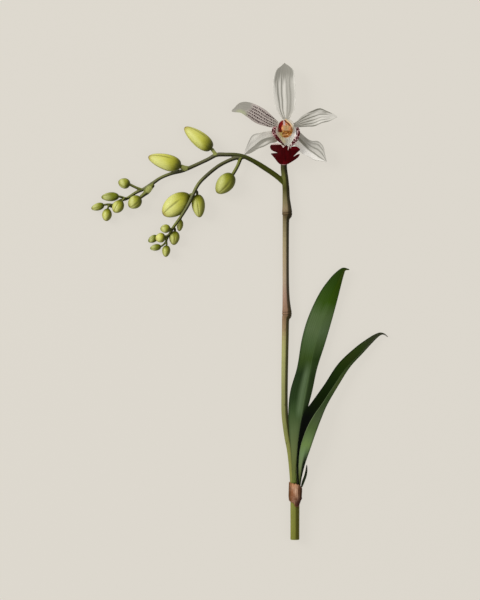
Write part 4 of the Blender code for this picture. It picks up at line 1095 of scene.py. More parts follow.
@dataclass(frozen=True)
class ColumnSkin:
    """Skin of the column: a red crescent, a lilac stripe and an orange side with a dark streak."""

    pale: Tint = (222, 214, 200)
    streak_start: tuple[float, float] = (284.2, 121.2)
    streak_way: tuple[float, float] = (0.594, 0.805)
    streak_bow: float = 1.1
    grain_height: float = 0.00004
    gloss: float = 0.12

    def material(self) -> bpy.types.Material:
        """Build the material from plan places and the mark reach.

        The streak runs from its start the way it points, to the lower right, and is bowed by
        a hill; outside it lies a cream line, and paler skin beyond.
        """
        paint = Paint("column_skin")
        plan_x, plan_y = paint.plan()
        reach = paint.mark("reach")
        grain = paint.noise(paint.spot(), 900.0, 2.0)
        spots = paint.noise(paint.vector(plan_x * 0.9, plan_y * 0.9), 1.0, 1.0)
        start_x, start_y = self.streak_start
        way_x, way_y = self.streak_way
        run = (plan_x - start_x) * way_x + (plan_y - start_y) * way_y
        off = (plan_x - start_x) * way_y - (plan_y - start_y) * way_x
        off = off - run.hill(6.4, 6.4) * self.streak_bow
        orange = paint.blend(spots.rise(0.42, 0.56), (232, 168, 118), (196, 102, 56))
        colour = paint.blend(off.hill(0.0, 1.25), orange, (74, 22, 8))
        colour = paint.blend(off.rise(0.8, 1.2), colour, (236, 208, 162))
        colour = paint.blend(off.rise(1.9, 2.3), colour, (190, 182, 168))
        colour = paint.blend(off.rise(2.6, 3.1), colour, self.pale)
        lilac = plan_x.hill(284.0, 1.5).rise(0.1, 0.5) * off.rise(-0.2, -0.9)
        lilac = lilac * plan_y.rise(127.4, 126.0)
        colour = paint.blend(lilac, colour, (206, 182, 180))
        inner = plan_x - 281.2 - plan_y.rise(128.0, 124.5) * 1.5
        red = paint.blend(grain.rise(0.35, 0.65), (96, 2, 4), (146, 14, 16))
        colour = paint.blend(inner.rise(0.3, -0.3), colour, red)
        side, down = (plan_x - 285.2) / 7.3, (plan_y - 127.8) / 6.9
        egg = (side * side + down * down).rise(0.92, 1.06) * plan_x.rise(286.0, 284.0)
        colour = paint.blend(egg, colour, self.pale)
        colour = paint.blend(reach.rise(0.40, 0.44), self.pale, colour)
        paint.dress(colour, 0.46 + 0.1 * grain, grain, self.grain_height)
        return paint.settle(Specular_IOR_Level=self.gloss)


@dataclass(frozen=True)
class AntherSkin:
    """Dull tan skin of the anther cap, with a reddish groove."""

    grain_height: float = 0.00005
    gloss: float = 0.2

    def material(self) -> bpy.types.Material:
        """Build the material from the mark groove and plan places."""
        paint = Paint("anther_skin")
        grain = paint.noise(paint.spot(), 1400.0, 3.0)
        colour = paint.blend(grain.rise(0.3, 0.7), (196, 160, 114), (178, 138, 92))
        plan_x, plan_y = paint.plan()
        right = (plan_x + (plan_y - 129.0) * 0.3).rise(287.4, 289.6)
        left = (plan_x - (plan_y - 129.0) * 0.3).rise(283.4, 282.2)
        colour = paint.blend(right.larger(left), colour, (224, 152, 100))
        colour = paint.blend(plan_x.rise(290.0, 291.2), colour, (130, 62, 34))
        colour = paint.blend(plan_y.rise(131.4, 132.2), colour, (150, 92, 34))
        groove = paint.mark("groove").rise(0.3, 0.9)
        colour = paint.blend(groove * 0.15, colour, (160, 112, 70))
        paint.dress(colour, 0.55 + 0.1 * grain, grain, self.grain_height)
        return paint.settle(Specular_IOR_Level=self.gloss)


@dataclass(frozen=True)
class SheathSkin:
    """Dry papery bract, tan and pink-brown, fibrous, with brown edges, a painted highlight on its front
    and painted shade on its right side and left edge.
    """

    fibre_height: float = 0.00012
    gloss: float = 0.1

    def material(self) -> bpy.types.Material:
        """Build the material from the marks along, edge, left, wrap and slope."""
        paint = Paint("sheath_skin")
        along, right = paint.mark("along"), paint.lean(1.0, 0.0)
        fibres = paint.noise(paint.wrap(), 7.0, 4.0, 0.6)
        patches = paint.noise(paint.spot(), 190.0, 3.0)
        colour = paint.blend(patches.rise(0.4, 0.6), (152, 100, 66), (206, 158, 126))
        # Painted highlight on the upper front
        light = right.hill(0.0, 0.5) * along.hill(0.3, 0.35)
        colour = paint.blend(light * 0.75, colour, (228, 188, 158))
        mauve = along.rise(0.6, 0.85) * right.rise(-0.1, 0.5)
        colour = paint.blend(mauve * 0.7, colour, (140, 98, 86))
        colour = paint.shade(colour, 0.56 + 0.88 * fibres)
        rust = along.rise(0.3, 0.02) * paint.mark("left")
        colour = paint.blend(rust * 0.7, colour, (180, 116, 58))
        # Painted shade on the side turned to the right, away from the light
        dark = right.rise(0.12, 0.7)
        colour = paint.blend(dark * 0.92, colour, (52, 30, 14))
        # Painted shade on the edge turned to the left
        shade = paint.lean(-1.0, 0.0).rise(0.4, 0.9)
        colour = paint.blend(shade * 0.85, colour, (78, 50, 22))
        low = along.rise(0.4, 0.85) * right.rise(-0.9, 0.3)
        colour = paint.blend(low * 0.88, colour, (58, 24, 18))
        edge = paint.mark("edge").rise(0.86, 1.0)
        colour = paint.blend(edge * 0.5, colour, (126, 86, 56))
        paint.dress(colour, 0.78 + 0.1 * fibres, fibres, self.fibre_height)
        return paint.settle(Specular_IOR_Level=self.gloss)


# Pieces


@dataclass(frozen=True)
class Stalk:
    """The grown stem: main stalk with two ringed joints, arch, twigs and bud stalks.

    The voxel is the grain at which the runs melt together. The growth makes up for what
    the softening takes off. A bud's stalk swells at its root and tapers into its seat,
    which lies a share of the bud's length under the bud.
    """

    sides: int = 28
    steps: int = 6
    voxel: float = 0.00035
    growth: float = 0.00017
    softening: int = 3
    main_ages: tuple[float, float] = (0.0, 0.72)
    upper_ages: tuple[float, float] = (0.72, 1.0)
    lower_ages: tuple[float, float] = (0.84, 1.0)
    bud_ages: tuple[float, float] = (0.99, 0.965)
    bud_steps: int = 5
    seat_gap: float = 0.005
    seat_overrun: float = 0.02
    root_swell: float = 1.15
    seat_taper: float = 0.8
    ribs: int = 9
    rib_height: float = 0.00005
    ring_spread: float = 1.3
    ring_width: float = 0.45
    ring_depth: float = 0.00016
    main_sides: tuple[float, float] = (278.0, 302.0)
    cut_places: tuple[float, float] = (539.4, 539.9)
    wrap_squash: float = 0.2
    wrap_pace: float = 30.0
    wrap_gap: float = 3.0

    def tube(self, rows: Array) -> Skin:
        """Round tube along rows of plan x, plan y, height and radius.

        Point k of a ring lies at its centre plus the radius times (the cosine of its turn
        times the side direction, plus the sine times the upper direction); the side is
        level and square to the run of the tube.
        """
        centre, radius = place(rows), rows[:, 3] * MM + self.growth
        run = np.gradient(centre, axis=0)
        run /= np.linalg.norm(run, axis=1, keepdims=True)
        side = np.cross(run, UP)
        side /= np.linalg.norm(side, axis=1, keepdims=True)
        upper = np.cross(side, run)
        turn = turns(self.sides)[None, :, None]
        ring = np.cos(turn) * side[:, None] + np.sin(turn) * upper[:, None]
        points = centre[:, None] + ring * radius[:, None, None]
        return Skin(points, closed_loops(len(rows), self.sides))

    def runs(self) -> list[tuple[Array, tuple[float, float]]]:
        """Finely stepped rows of each run, with the ages at its two ends."""
        runs = [
            (smooth(STEM_AXIS, self.steps), self.main_ages),
            (smooth(UPPER_TWIG, self.steps), self.upper_ages),
            (smooth(LOWER_TWIG, self.steps), self.lower_ages),
        ]
        for tip, base, _, _, _, way, radius in BUDS.values():
            seat = np.array(base) + (np.array(base) - tip) * self.seat_gap
            end = seat + (seat - way[-1][:3]) * self.seat_overrun
            rows = [(*point, radius)[:4] for point in (*way, seat)]
            rows[0] = (*way[0][:3], rows[0][3] * self.root_swell)
            rows.append((*end, radius * self.seat_taper))
            runs.append((smooth(rows, self.bud_steps), self.bud_ages))
        return runs

    def build(self, finish: bpy.types.Material) -> None:
        """Melt the runs into one skin, mark its points and plant it."""
        runs = self.runs()
        skins = [self.tube(rows) for rows, _ in runs] + [self.knob()]
        points, faces, count = [], [], 0
        for skin in skins:
            flat = skin.points.reshape(-1, 3)
            points.append(flat)
            faces += [tuple(index + count for index in face) for face in skin.faces]
            count += len(flat)
        rough = new_object("stem_runs", Skin(np.vstack(points), faces).mesh("stem_runs"))
        melt = rough.modifiers.new("melt", "REMESH")
        melt.mode = "VOXEL"
        melt.voxel_size = self.voxel
        soften = rough.modifiers.new("soften", "SMOOTH")
        soften.factor = 0.5
        soften.iterations = self.softening
        mesh = settled(rough)
        self.mark(mesh, runs)
        mesh.shade_smooth()
        plant("stem", mesh, finish)

    @staticmethod
    def knob() -> Skin:
        """Round end of the flower's stalk, under the flower."""
        points = place(KNOB_CENTRE) + ball(18, 32) * KNOB_RADIUS * MM
        return Skin(points, closed_loops(*points.shape[:2]))

    def mark(self, mesh: bpy.types.Mesh, runs: list[tuple[Array, tuple[float, float]]]) -> None:
        """Mark each point with its age, wrap, ring and cut, and raise faint ribs.

        Each point belongs to the run whose surface is nearest to it. Its age goes from one
        end of that run to the other. Its wrap is the direction from the run's axis, with its
        y squashed and the paced distance along the run added to it, so that grain runs
        lengthwise, and a gap for each run. A ring is a bell of the distance to its line; two lines cut in
        at each joint. Ribs stand out by the cosine of their number times the turn.
        """
        count = len(mesh.vertices)
        points = np.empty(count * 3, np.float32)
        normals = np.empty(count * 3, np.float32)
        mesh.vertices.foreach_get("co", points)
        mesh.vertex_normals.foreach_get("vector", normals)
        points, normals = points.reshape(-1, 3).astype(float), normals.reshape(-1, 3).astype(float)
        best = np.full(count, 1e9)
        age, wrap = np.zeros(count), np.zeros((count, 3))
        for number, (rows, ages) in enumerate(runs):
            axis = place(rows)
            near = self.nearest(points, axis)
            offset = points - axis[near]
            gap = np.linalg.norm(offset, axis=1) - rows[near, 3] * MM
            closer = gap < best
            best = np.where(closer, gap, best)
            share = run_length(axis)[near]
            age = np.where(closer, ages[0] + (ages[1] - ages[0]) * share, age)
            length = np.linalg.norm(np.diff(axis, axis=0), axis=1).sum()
            reach = np.maximum(np.linalg.norm(offset, axis=1, keepdims=True), 1e-6)
            vector = offset / reach
            vector[:, 1] = vector[:, 1] * self.wrap_squash + share * length * self.wrap_pace
            vector[:, 1] += number * self.wrap_gap
            wrap = np.where(closer[:, None], vector, wrap)
        plan_x, plan_y = unplace(points)
        on_main = (plan_x > self.main_sides[0]) & (plan_x < self.main_sides[1])
        ring = np.zeros(count)
        for joint in JOINTS:
            for line in (joint - self.ring_spread, joint + self.ring_spread):
                ring = np.maximum(ring, bell(plan_y - line, self.ring_width) * on_main)
        cut = step(plan_y, *self.cut_places) * on_main
        for name, values in {"age": age, "wrap": wrap, "ring": ring, "cut": cut}.items():
            add_mark(mesh, name, values)
        rib = np.cos(self.ribs * np.arctan2(wrap[:, 2], wrap[:, 0])) * on_main * (1 - cut)
        lift = self.rib_height * (rib - 1) - self.ring_depth * ring
        raised = points + normals * lift[:, None]
        mesh.vertices.foreach_set("co", raised.astype(np.float32).ravel())
        mesh.update()

    @staticmethod
    def nearest(points: Array, axis: Array) -> Array:
        """Number of the axis point nearest to each point, worked out in batches."""
        batch = 20000
        found = np.empty(len(points), int)
        for start in range(0, len(points), batch):
            part = points[start : start + batch]
            square = (axis**2).sum(1)[None, :] - 2 * part @ axis.T
            found[start : start + batch] = square.argmin(1)
        return found


@dataclass(frozen=True)
class Blade:
    """A leaf, sepal or petal: a thin body between two edges, on either side of a midrib."""

    node: str
    stations: Stations
    thickness: float
    power: float = 2.0
    steps: int = 10
    columns: int = 41
    veins: float = 9.0
    relief: float = 0.00005
    ripple: float = 0.0
    waves: float = 3.0
    wave_lag: float = 1.9
    tip_thickness: float = 0.12

    def middle(self) -> tuple[Array, Array, Array]:
        """Surface midway between front and back.

        At v from -1 to 1 across, a point is the midrib, plus half the span between the edges
        times v, plus the rise of the edges over the midrib times v to the given power. The
        columns crowd towards the edges, as the sine of an even row does.

        Returns:
            The grid of points, the share along of each row, and v of each column.
        """
        rows = smooth([np.ravel(station) for station in self.stations], self.steps)
        v = np.sin(np.linspace(-np.pi / 2, np.pi / 2, self.columns))
        one, mid, other = rows[:, None, 0:3], rows[:, None, 3:6], rows[:, None, 6:9]
        lift = self.profile(v)[None, :, None]
        grid = mid + (other - one) / 2 * v[None, :, None] + ((one + other) / 2 - mid) * lift
        world = place(grid)
        return world, run_length(world[:, self.columns // 2]), v

    def profile(self, v: Array) -> Array:
        """Share of the edges' rise over the midrib at v across."""
        return np.abs(v) ** self.power

    def thick(self, along: Array, v: Array) -> Array:
        """Half the thickness: full over the middle, none at the edges, thin at the tip."""
        edge = np.sqrt(1 - np.abs(v) ** 5)
        full = np.sqrt(np.clip(1 - along**12, 0, 1))
        end = self.tip_thickness + (1 - self.tip_thickness) * full
        return self.thickness / 2 * end[:, None] * edge[None, :]

    def shaped(self, grid: Array, normal: Array, along: Array, v: Array) -> Array:
        """The middle surface with its lengthwise veins and the waves of its edges.

        Veins stand out as the cosine of pi times their number times v; the edges wave by the
        sine of the turns along the blade, times v cubed, out of step on the two sides.
        """
        end = step(along, 1.0, 0.85)
        fade = (1 - v**8)[None, :] * step(along, 0.0, 0.1)[:, None] * end[:, None]
        vein = np.cos(np.pi * self.veins * v)[None, :] * self.relief * fade
        turn = 2 * np.pi * self.waves * along[:, None]
        wave = np.sin(turn + self.wave_lag * np.sign(v)[None, :])
        ends = (step(along, 0.05, 0.3) * end)[:, None]
        edge = wave * np.abs(v)[None, :] ** 3 * self.ripple * ends
        return grid + normal * (vein + edge)[..., None]

    def skin(self) -> Skin:
        """Closed skin of the blade: front and back, which meet along the edges."""
        grid, along, v = self.middle()
        normal = np.cross(np.gradient(grid, axis=1), np.gradient(grid, axis=0))
        normal /= np.linalg.norm(normal, axis=-1, keepdims=True) + 1e-12
        normal *= np.sign(normal[..., 2].mean())
        grid = self.shaped(grid, normal, along, v)
        half = self.thick(along, v)[..., None] * normal
        back = (grid - half)[:, -2:0:-1]
        points = np.concatenate([grid + half, back], axis=1)
        count, around = points.shape[:2]
        faces = loop_faces(count, around)
        faces += cap_strip(0, self.columns, around)
        faces += cap_strip((count - 1) * around, self.columns, around)
        across = np.tile(np.concatenate([v, v[-2:0:-1]]), (count, 1))
        front = np.arange(around) < self.columns
        face = np.tile(front.astype(float), (count, 1))
        marks = {"along": np.tile(along[:, None], (1, around)), "across": across, "face": face}
        return Skin(points, faces, marks)

    def build(self, finish: bpy.types.Material) -> None:
        """Make the blade and plant it."""
        plant(self.node, self.skin().mesh(self.node), finish)


@dataclass(frozen=True)
class Trough(Blade):
    """Side lobes and throat of the lip: a trough with flared rims and callus ridges."""

    wall_foot: float = 0.30
    wall_top: float = 0.74
    flare: float = 0.08
    ridge_slope: float = 0.9

    def profile(self, v: Array) -> Array:
        """Share of the rims' rise at v: a smooth step up the wall, then a level flare."""
        wall = step(np.abs(v), self.wall_foot, self.wall_top)
        return (1 - self.flare) * wall + self.flare * np.abs(v)

    def shaped(self, grid: Array, normal: Array, along: Array, v: Array) -> Array:
        """The trough with two callus ridges, each a bell over its plan ellipse."""
        plan_x, plan_y = unplace(grid)
        rise = np.zeros(grid.shape[:2])
        for (x, y, _), (half_x, half_y, height) in CALLUS_RIDGES:
            far = ((plan_x - x) * GRID / MM / half_x) ** 2 + ((plan_y - y) * GRID / MM / half_y) ** 2
            rise += height * MM * np.exp(-far * self.ridge_slope)
        ruffled = super().shaped(grid, normal, along, v)
        return ruffled + rise[..., None] * UP


@dataclass(frozen=True)
class Lip:
    """The lip: its trough and the frilled middle lobe, fused into one body."""

    node: str = "lip"
    spacing: float = 0.6
    outline_steps: int = 6
    ruffle: float = 0.5
    ruffles: int = 7
    crease: float = 0.35
    crease_width: float = 1.1
    thickness: float = 0.6
    rim_width: float = 0.5
    rim_share: float = 0.04

    def outline(self) -> Array:
        """Closed smooth curve through the outline of the middle lobe, in plan."""
        ring = np.array(LOBE_OUTLINE)
        padded = np.vstack([ring[-2:], ring, ring[:3]])
        curve = smooth(padded, self.outline_steps)
        start = 2 * self.outline_steps
        return curve[start : start + len(ring) * self.outline_steps]

    def heights(self, plan: Array) -> Array:
        """Height in millimetres of the middle lobe over plan places.

        It is a dome that falls with the square of the distance from the centre, plus waves
        round it that grow with the cube of that distance, less a crease down its middle.
        """
        away = plan - np.array(LOBE_CENTRE)
        reach = np.linalg.norm(away, axis=-1) / LOBE_RADIUS
        turn = np.arctan2(away[..., 1], away[..., 0])
        waves = self.ruffle * np.sin(self.ruffles * turn + 0.6) * reach**3
        crease = -self.crease * bell(away[..., 0], self.crease_width) * step(away[..., 1], -6.0, 6.0)
        return LOBE_HEIGHT - LOBE_DROP * reach**2 + waves + crease

    def lobe(self) -> Skin:
        """Closed skin of the middle lobe, from a triangulated plan of its outline."""
        ring = self.outline()
        count = len(ring)
        low, high = ring.min(0), ring.max(0)
        x, y = np.meshgrid(*(np.arange(a, b, self.spacing) for a, b in zip(low, high)))
        x = x + (np.arange(len(x)) % 2 * self.spacing / 2)[:, None]
        inner = np.stack([x.ravel(), y.ravel()], axis=1)
        gap = np.linalg.norm(inner[:, None] - ring[None], axis=2).min(1)
        inner = inner[(gap > self.spacing * 0.45) & self.inside(inner, ring)]
        every = [Vector(point) for point in np.vstack([ring, inner]).tolist()]
        edges = [(k, (k + 1) % count) for k in range(count)]
        flat, _, triangles, *_ = delaunay_2d_cdt(every, edges, [], 1, 1e-7, True)
        plan = np.array([tuple(point) for point in flat])
        triangles = np.array([tuple(face) for face in triangles])
        triangles = triangles[self.inside(plan[triangles].mean(axis=1), ring)]
        used = np.unique(triangles)
        renumber = np.full(len(plan), -1)
        renumber[used] = np.arange(len(used))
        plan, triangles = plan[used], renumber[triangles]
        rim = np.linalg.norm(plan[:, None] - ring[None], axis=2).min(1) * GRID / MM
        height = self.heights(plan)
        inset = 1 - np.minimum(rim / self.rim_width, 1)
        half = self.thickness / 2 * np.sqrt(np.clip(1 - inset**2, self.rim_share, 1))
        top = place(np.column_stack([plan, height + half]))
        under = place(np.column_stack([plan, height - half]))
        faces = [tuple(face) for face in triangles.tolist()]
        faces += [tuple(face) for face in (triangles[:, ::-1] + len(plan)).tolist()]
        faces += self.rim_faces(triangles, len(plan))
        marks = {"rim": np.tile(rim, 2), "lobe": np.ones(2 * len(plan))}
        return Skin(np.vstack([top, under]), faces, marks)

    @staticmethod
    def inside(points: Array, ring: Array) -> Array:
        """Whether points lie in an outline: a line to the right crosses it an odd number of times."""
        after = np.roll(ring, -1, axis=0)
        x, y = points[:, :1], points[:, 1:]
        spans = (ring[:, 1] > y) != (after[:, 1] > y)
        slope = (after[:, 0] - ring[:, 0]) / (after[:, 1] - ring[:, 1] + 1e-12)
        crossed = spans & (x < ring[:, 0] + (y - ring[:, 1]) * slope)
        return crossed.sum(axis=1) % 2 == 1

    @staticmethod
    def rim_faces(triangles: Array, count: int) -> Faces:
        """Quads round the border, between the top points and the points under them."""
        pairs = np.vstack([triangles[:, [0, 1]], triangles[:, [1, 2]], triangles[:, [2, 0]]])
        _, place_of, shared = np.unique(
            np.sort(pairs, axis=1), axis=0, return_index=True, return_counts=True
        )
        border = pairs[place_of[shared == 1]]
        start, end = border.T
        quads = np.column_stack([end, start, start + count, end + count])
        return [tuple(face) for face in quads.tolist()]

    def build(self, finish: bpy.types.Material) -> None:
        """Fuse the trough and the middle lobe, and plant them as one piece."""
        trough = Trough("trough", LIP_TROUGH, TEPAL, 2.0, 12, 65, 11.0, 0.00003)
        skin = trough.skin()
        count = len(skin.points.reshape(-1, 3))
        skin.marks["lobe"] = np.zeros(count)
        skin.marks["rim"] = np.ones(count)
        throat = new_object("lip_throat", skin.mesh("lip_throat"))
        lobe_skin = self.lobe()
        for name in ("along", "across", "face"):
            lobe_skin.marks[name] = np.zeros(len(lobe_skin.points))
        lobe = new_object("lip_lobe", lobe_skin.mesh("lip_lobe"))
        union = throat.modifiers.new("fuse", "BOOLEAN")
        union.operation = "UNION"
        union.solver = "MANIFOLD"
        union.object = lobe
        mesh = settled(throat)
        bpy.data.objects.remove(lobe)
        mesh.shade_smooth()
        plant(self.node, mesh, finish)


@dataclass(frozen=True)
class Column:
    """The column: oval rings that rise to a rim, then dip round the seat of its cap."""

    node: str = "column"
    rings: Rows = (
        (285.5, 125.8, 11.5, 0.3, 0.3),
        (285.5, 125.8, 11.5, 2.2, 1.8),
        (285.5, 125.0, 14.0, 3.3, 2.7),
        (285.5, 125.2, 16.4, 4.9, 3.7),
        (285.6, 125.8, 18.6, 5.85, 4.5),
        (285.6, 126.0, 20.4, 6.0, 4.65),
        (285.6, 126.1, 21.2, 5.75, 4.45),
        (285.6, 126.3, 20.9, 5.2, 4.0),
        (285.7, 126.9, 20.9, 4.1, 3.1),
        (285.9, 127.6, 20.8, 3.3, 2.2),
        (286.1, 128.4, 21.3, 2.2, 1.4),
        (286.1, 128.8, 21.9, 1.0, 0.7),
        (286.1, 128.9, 22.0, 0.1, 0.1),
    )
    steps: int = 6
    sides: int = 72
    folds: int = 14
    fold_depth: float = 0.03
    fold_place: float = 0.66
    fold_width: float = 0.08

    def build(self, finish: bpy.types.Material) -> None:
        """Make the column.

        A point of a ring is its centre plus half its width times the cosine of the turn to
        the right, and half its depth times the sine. Round the rim the rings are folded by
        the cosine of their folds times the turn, within a bell of the share along.
        """
        rows = smooth(self.rings, self.steps)
        turn = turns(self.sides)
        points = place(rows)[:, None, :].repeat(self.sides, axis=1)
        points[..., 0] += rows[:, 3:4] * MM * np.cos(turn)
        points[..., 1] += rows[:, 4:5] * MM * np.sin(turn)
        reach = np.arange(len(rows)) / (len(rows) - 1)
        rim = bell(reach - self.fold_place, self.fold_width)
        fold = 1 + self.fold_depth * np.cos(self.folds * turn)[None, :] * rim[:, None]
        middle = points.mean(axis=1, keepdims=True)
        points[..., :2] = middle[..., :2] + (points - middle)[..., :2] * fold[..., None]
        faces = closed_loops(len(rows), self.sides)
        marks = {"reach": np.tile(reach[:, None], (1, self.sides))}
        plant(self.node, Skin(points, faces, marks).mesh(self.node), finish)


@dataclass(frozen=True)
class AntherCap:
    """The cap on the column's end: an egg with two low lobes, a groove and a short beak."""

    node: str = "anther_cap"
    sides: int = 64
    rings: int = 34
    groove_width: float = 0.16
    groove_depth: float = 0.28
    beak_width: float = 0.3
    beak_reach: float = 0.12

    def build(self, finish: bpy.types.Material) -> None:
        """Make the cap.

        Its place is the centre plus the half sizes times the point of a ball of radius 1;
        the ball is pinched by a bell along its middle line and drawn out towards the beak.
        """
        form = ball(self.rings, self.sides)
        groove = bell(form[..., 0], self.groove_width) * step(form[..., 2], -0.2, 0.5)
        groove = groove * step(form[..., 1], -0.95, -0.2)
        beak = bell(form[..., 0], self.beak_width) * step(-form[..., 1], 0.4, 1.0)
        form[..., 2] -= self.groove_depth * groove
        form[..., 1] -= self.beak_reach * beak
        points = place(ANTHER_CENTRE) + form * np.array(ANTHER_HALF_SIZE) * MM
        faces = closed_loops(*form.shape[:2])
        marks = {"groove": groove}
        plant(self.node, Skin(points, faces, marks).mesh(self.node), finish)


@dataclass(frozen=True)
class Bud:
    """One closed bud: three folded sepals that meet in seams and come to a tip."""

    node: str
    tip: Spot
    base: Spot
    radius: float
    flatness: float
    widest: float
    tone: float
    turn: float
    sides: int = 60
    rings: int = 46
    seam_depth: float = 0.045
    seam_width: float = 0.13
    keel: float = 0.025
    fullness: float = 0.5

    def build(self, finish: bpy.types.Material) -> None:
        """Make the bud and plant it.

        At t from 0 at the base to 1 at the tip, the radius is the widest one times the sine
        of pi t to the power k, to the power of the fullness, where k puts the widest ring at
        that share of the length. Three keels swell it as the cosine of three turns, and
        between them seams cut in as narrow bells round the turn, deepest near the tip.
        """
        start, end = place(self.base), place(self.tip)
        axis = (end - start) / np.linalg.norm(end - start)
        side = np.cross(UP, axis)
        side /= np.linalg.norm(side)
        upper = np.cross(axis, side)
        t = (1 - np.cos(np.pi * np.arange(1, self.rings) / self.rings)) / 2
        profile = np.sin(np.pi * t ** (np.log(0.5) / np.log(self.widest))) ** self.fullness
        turn = turns(self.sides)
        lap = np.abs((turn * 3 / (2 * np.pi) + self.turn) % 1 - 0.5) * 2
        seam = bell(lap, self.seam_width)[None, :] * step(t, 0.12, 0.5)[:, None]
        keel = self.keel * np.cos(3 * turn + 2 * np.pi * self.turn)[None, :]
        reach = profile[:, None] * (1 + keel - self.seam_depth * seam) * self.radius * MM
        ring = np.cos(turn)[:, None] * side + np.sin(turn)[:, None] * upper * self.flatness
        centre = start + t[:, None] * (end - start)
        points = centre[:, None] + reach[..., None] * ring[None]
        faces = loop_faces(len(t), self.sides)
        count = points.shape[0] * self.sides
        faces += [(k, (k + 1) % self.sides, count) for k in range(self.sides)]
        last = count - self.sides
        faces += [(last + k, last + (k + 1) % self.sides, count + 1) for k in range(self.sides)]
        points = np.vstack([points.reshape(-1, 3), start, end])
        wrap = np.empty((len(t), self.sides, 3))
        wrap[..., 0], wrap[..., 1] = np.cos(turn), np.sin(turn)
        wrap[..., 2] = t[:, None] * 1.4 + self.turn * 5
        marks = {
            "along": np.append(np.tile(t[:, None], (1, self.sides)), (0.0, 1.0)),
            "seam": np.append(seam, (0.0, 1.0)),
            "tone": np.full(count + 2, self.tone),
            "wrap": np.vstack([wrap.reshape(-1, 3), (0, 0, 0), (0, 0, 1.4)]),
        }
        plant(self.node, Skin(points, faces, marks).mesh(self.node), finish)


@dataclass(frozen=True)
class Sheath:
    """Dry sheath round the foot of the leaves: a fibrous tube with two torn ends."""

    node: str = "sheath"
    sides: int = 144
    rings: int = 40
    thickness: float = 0.0005
    inset: float = 0.3
    lump_line: float = 498.4
    lump_width: float = 1.1
    lump_height: float = 0.4

    def build(self, finish: bpy.types.Material) -> None:
        """Make the tube and plant it.

        The plan y of its two ends is read off their tables at the cosine of the turn, and
        frayed by two waves round it; its axis and radius are read off the profile at the
        plan y. Faint pleats run down it, and a lump stands out on its right.
        """
        turn = turns(self.sides)
        frayed = 0.30 * np.sin(11 * turn + 1.0) + 0.2 * np.sin(23 * turn)
        top = np.interp(np.cos(turn), *zip(*SHEATH_TOP)) + frayed
        foot = np.interp(np.cos(turn), *zip(*SHEATH_FOOT)) - 0.8 * frayed
        share = np.linspace(0, 1, self.rings)[:, None]
        plan_y = top + (foot - top) * share
        pleats = 0.05 * np.cos(26 * turn + 3 * share) + 0.03 * np.cos(41 * turn)
        ys, middle_x, outer = zip(*SHEATH_PROFILE)
        lump = self.lump_height * bell(plan_y - self.lump_line, self.lump_width)
        lump = lump * step(np.cos(turn), 0.9, 1.0)
        radius = np.interp(plan_y, ys, outer) - self.inset + pleats + lump
        middle = np.interp(plan_y, ys, middle_x)
        wall = self.thickness / MM / 2 * np.sqrt(np.clip(1 - np.abs(2 * share - 1) ** 6, 0.05, 1))
        outer = self.ring_points(turn, plan_y, middle, radius + wall)
        inner = self.ring_points(turn, plan_y, middle, radius - wall)
        points = np.concatenate([outer, inner[::-1]], axis=0)
        faces = loop_faces(2 * self.rings, self.sides)
        last = (2 * self.rings - 1) * self.sides
        faces += [
            (last + k, last + (k + 1) % self.sides, (k + 1) % self.sides, k) for k in range(self.sides)
        ]
        along = np.concatenate([share, share[::-1]]) * np.ones(self.sides)
        wrap = np.empty((*along.shape, 3))
        wrap[..., 0], wrap[..., 1], wrap[..., 2] = np.cos(turn) * 2, np.sin(turn) * 2, along * 0.5
        left = np.clip(0.5 - 0.6 * np.cos(turn), 0, 1) * np.ones_like(along)
        marks = {"along": along, "edge": np.abs(2 * along - 1), "left": left, "wrap": wrap}
        plant(self.node, Skin(points, faces, marks).mesh(self.node), finish)

    @staticmethod
    def ring_points(turn: Array, plan_y: Array, middle: Array, radius: Array) -> Array:
        """Rings round the sheath's axis, in metres, none below the surface."""
        grid = np.empty((*plan_y.shape, 3))
        grid[..., 0] = middle + radius * np.cos(turn) * MM / GRID
        grid[..., 1] = plan_y
        grid[..., 2] = np.maximum(SHEATH_HEIGHT + radius * np.sin(turn), 0.01)
        return place(grid)


# The whole plant and its studio


@dataclass(frozen=True)
class Flower:
    """The open flower: five tepals, the lip, the column and its cap."""

    tepals: tuple[tuple[Blade, TepalSkin], ...] = (
        (Blade("dorsal_sepal", DORSAL_SEPAL, TEPAL, ripple=0.0003, veins=7.0),
         TepalSkin("dorsal_skin", Marking.STRIPES, 2.5)),
        (Blade("left_petal", LEFT_PETAL, TEPAL, ripple=0.0003, veins=6.0),
         TepalSkin("left_petal_skin", Marking.DASHES, 2.5)),
        (Blade("right_petal", RIGHT_PETAL, TEPAL, ripple=0.0005, veins=5.0),
         TepalSkin("right_petal_skin", Marking.VEINS, 2.5)),
        (Blade("left_sepal", LEFT_SEPAL, TEPAL, ripple=0.0004, veins=6.0),
         TepalSkin("left_sepal_skin", Marking.LOWER, 1.5)),
        (Blade("right_sepal", RIGHT_SEPAL, TEPAL, ripple=0.0004, veins=6.0),
         TepalSkin("right_sepal_skin", Marking.UPPER, 1.5)),
    )

    def build(self) -> None:
        """Build the flower's pieces."""
        for blade, skin in self.tepals:
            blade.build(skin.material())
        Lip().build(LipSkin().material())
        Column().build(ColumnSkin().material())
        AntherCap().build(AntherSkin().material())


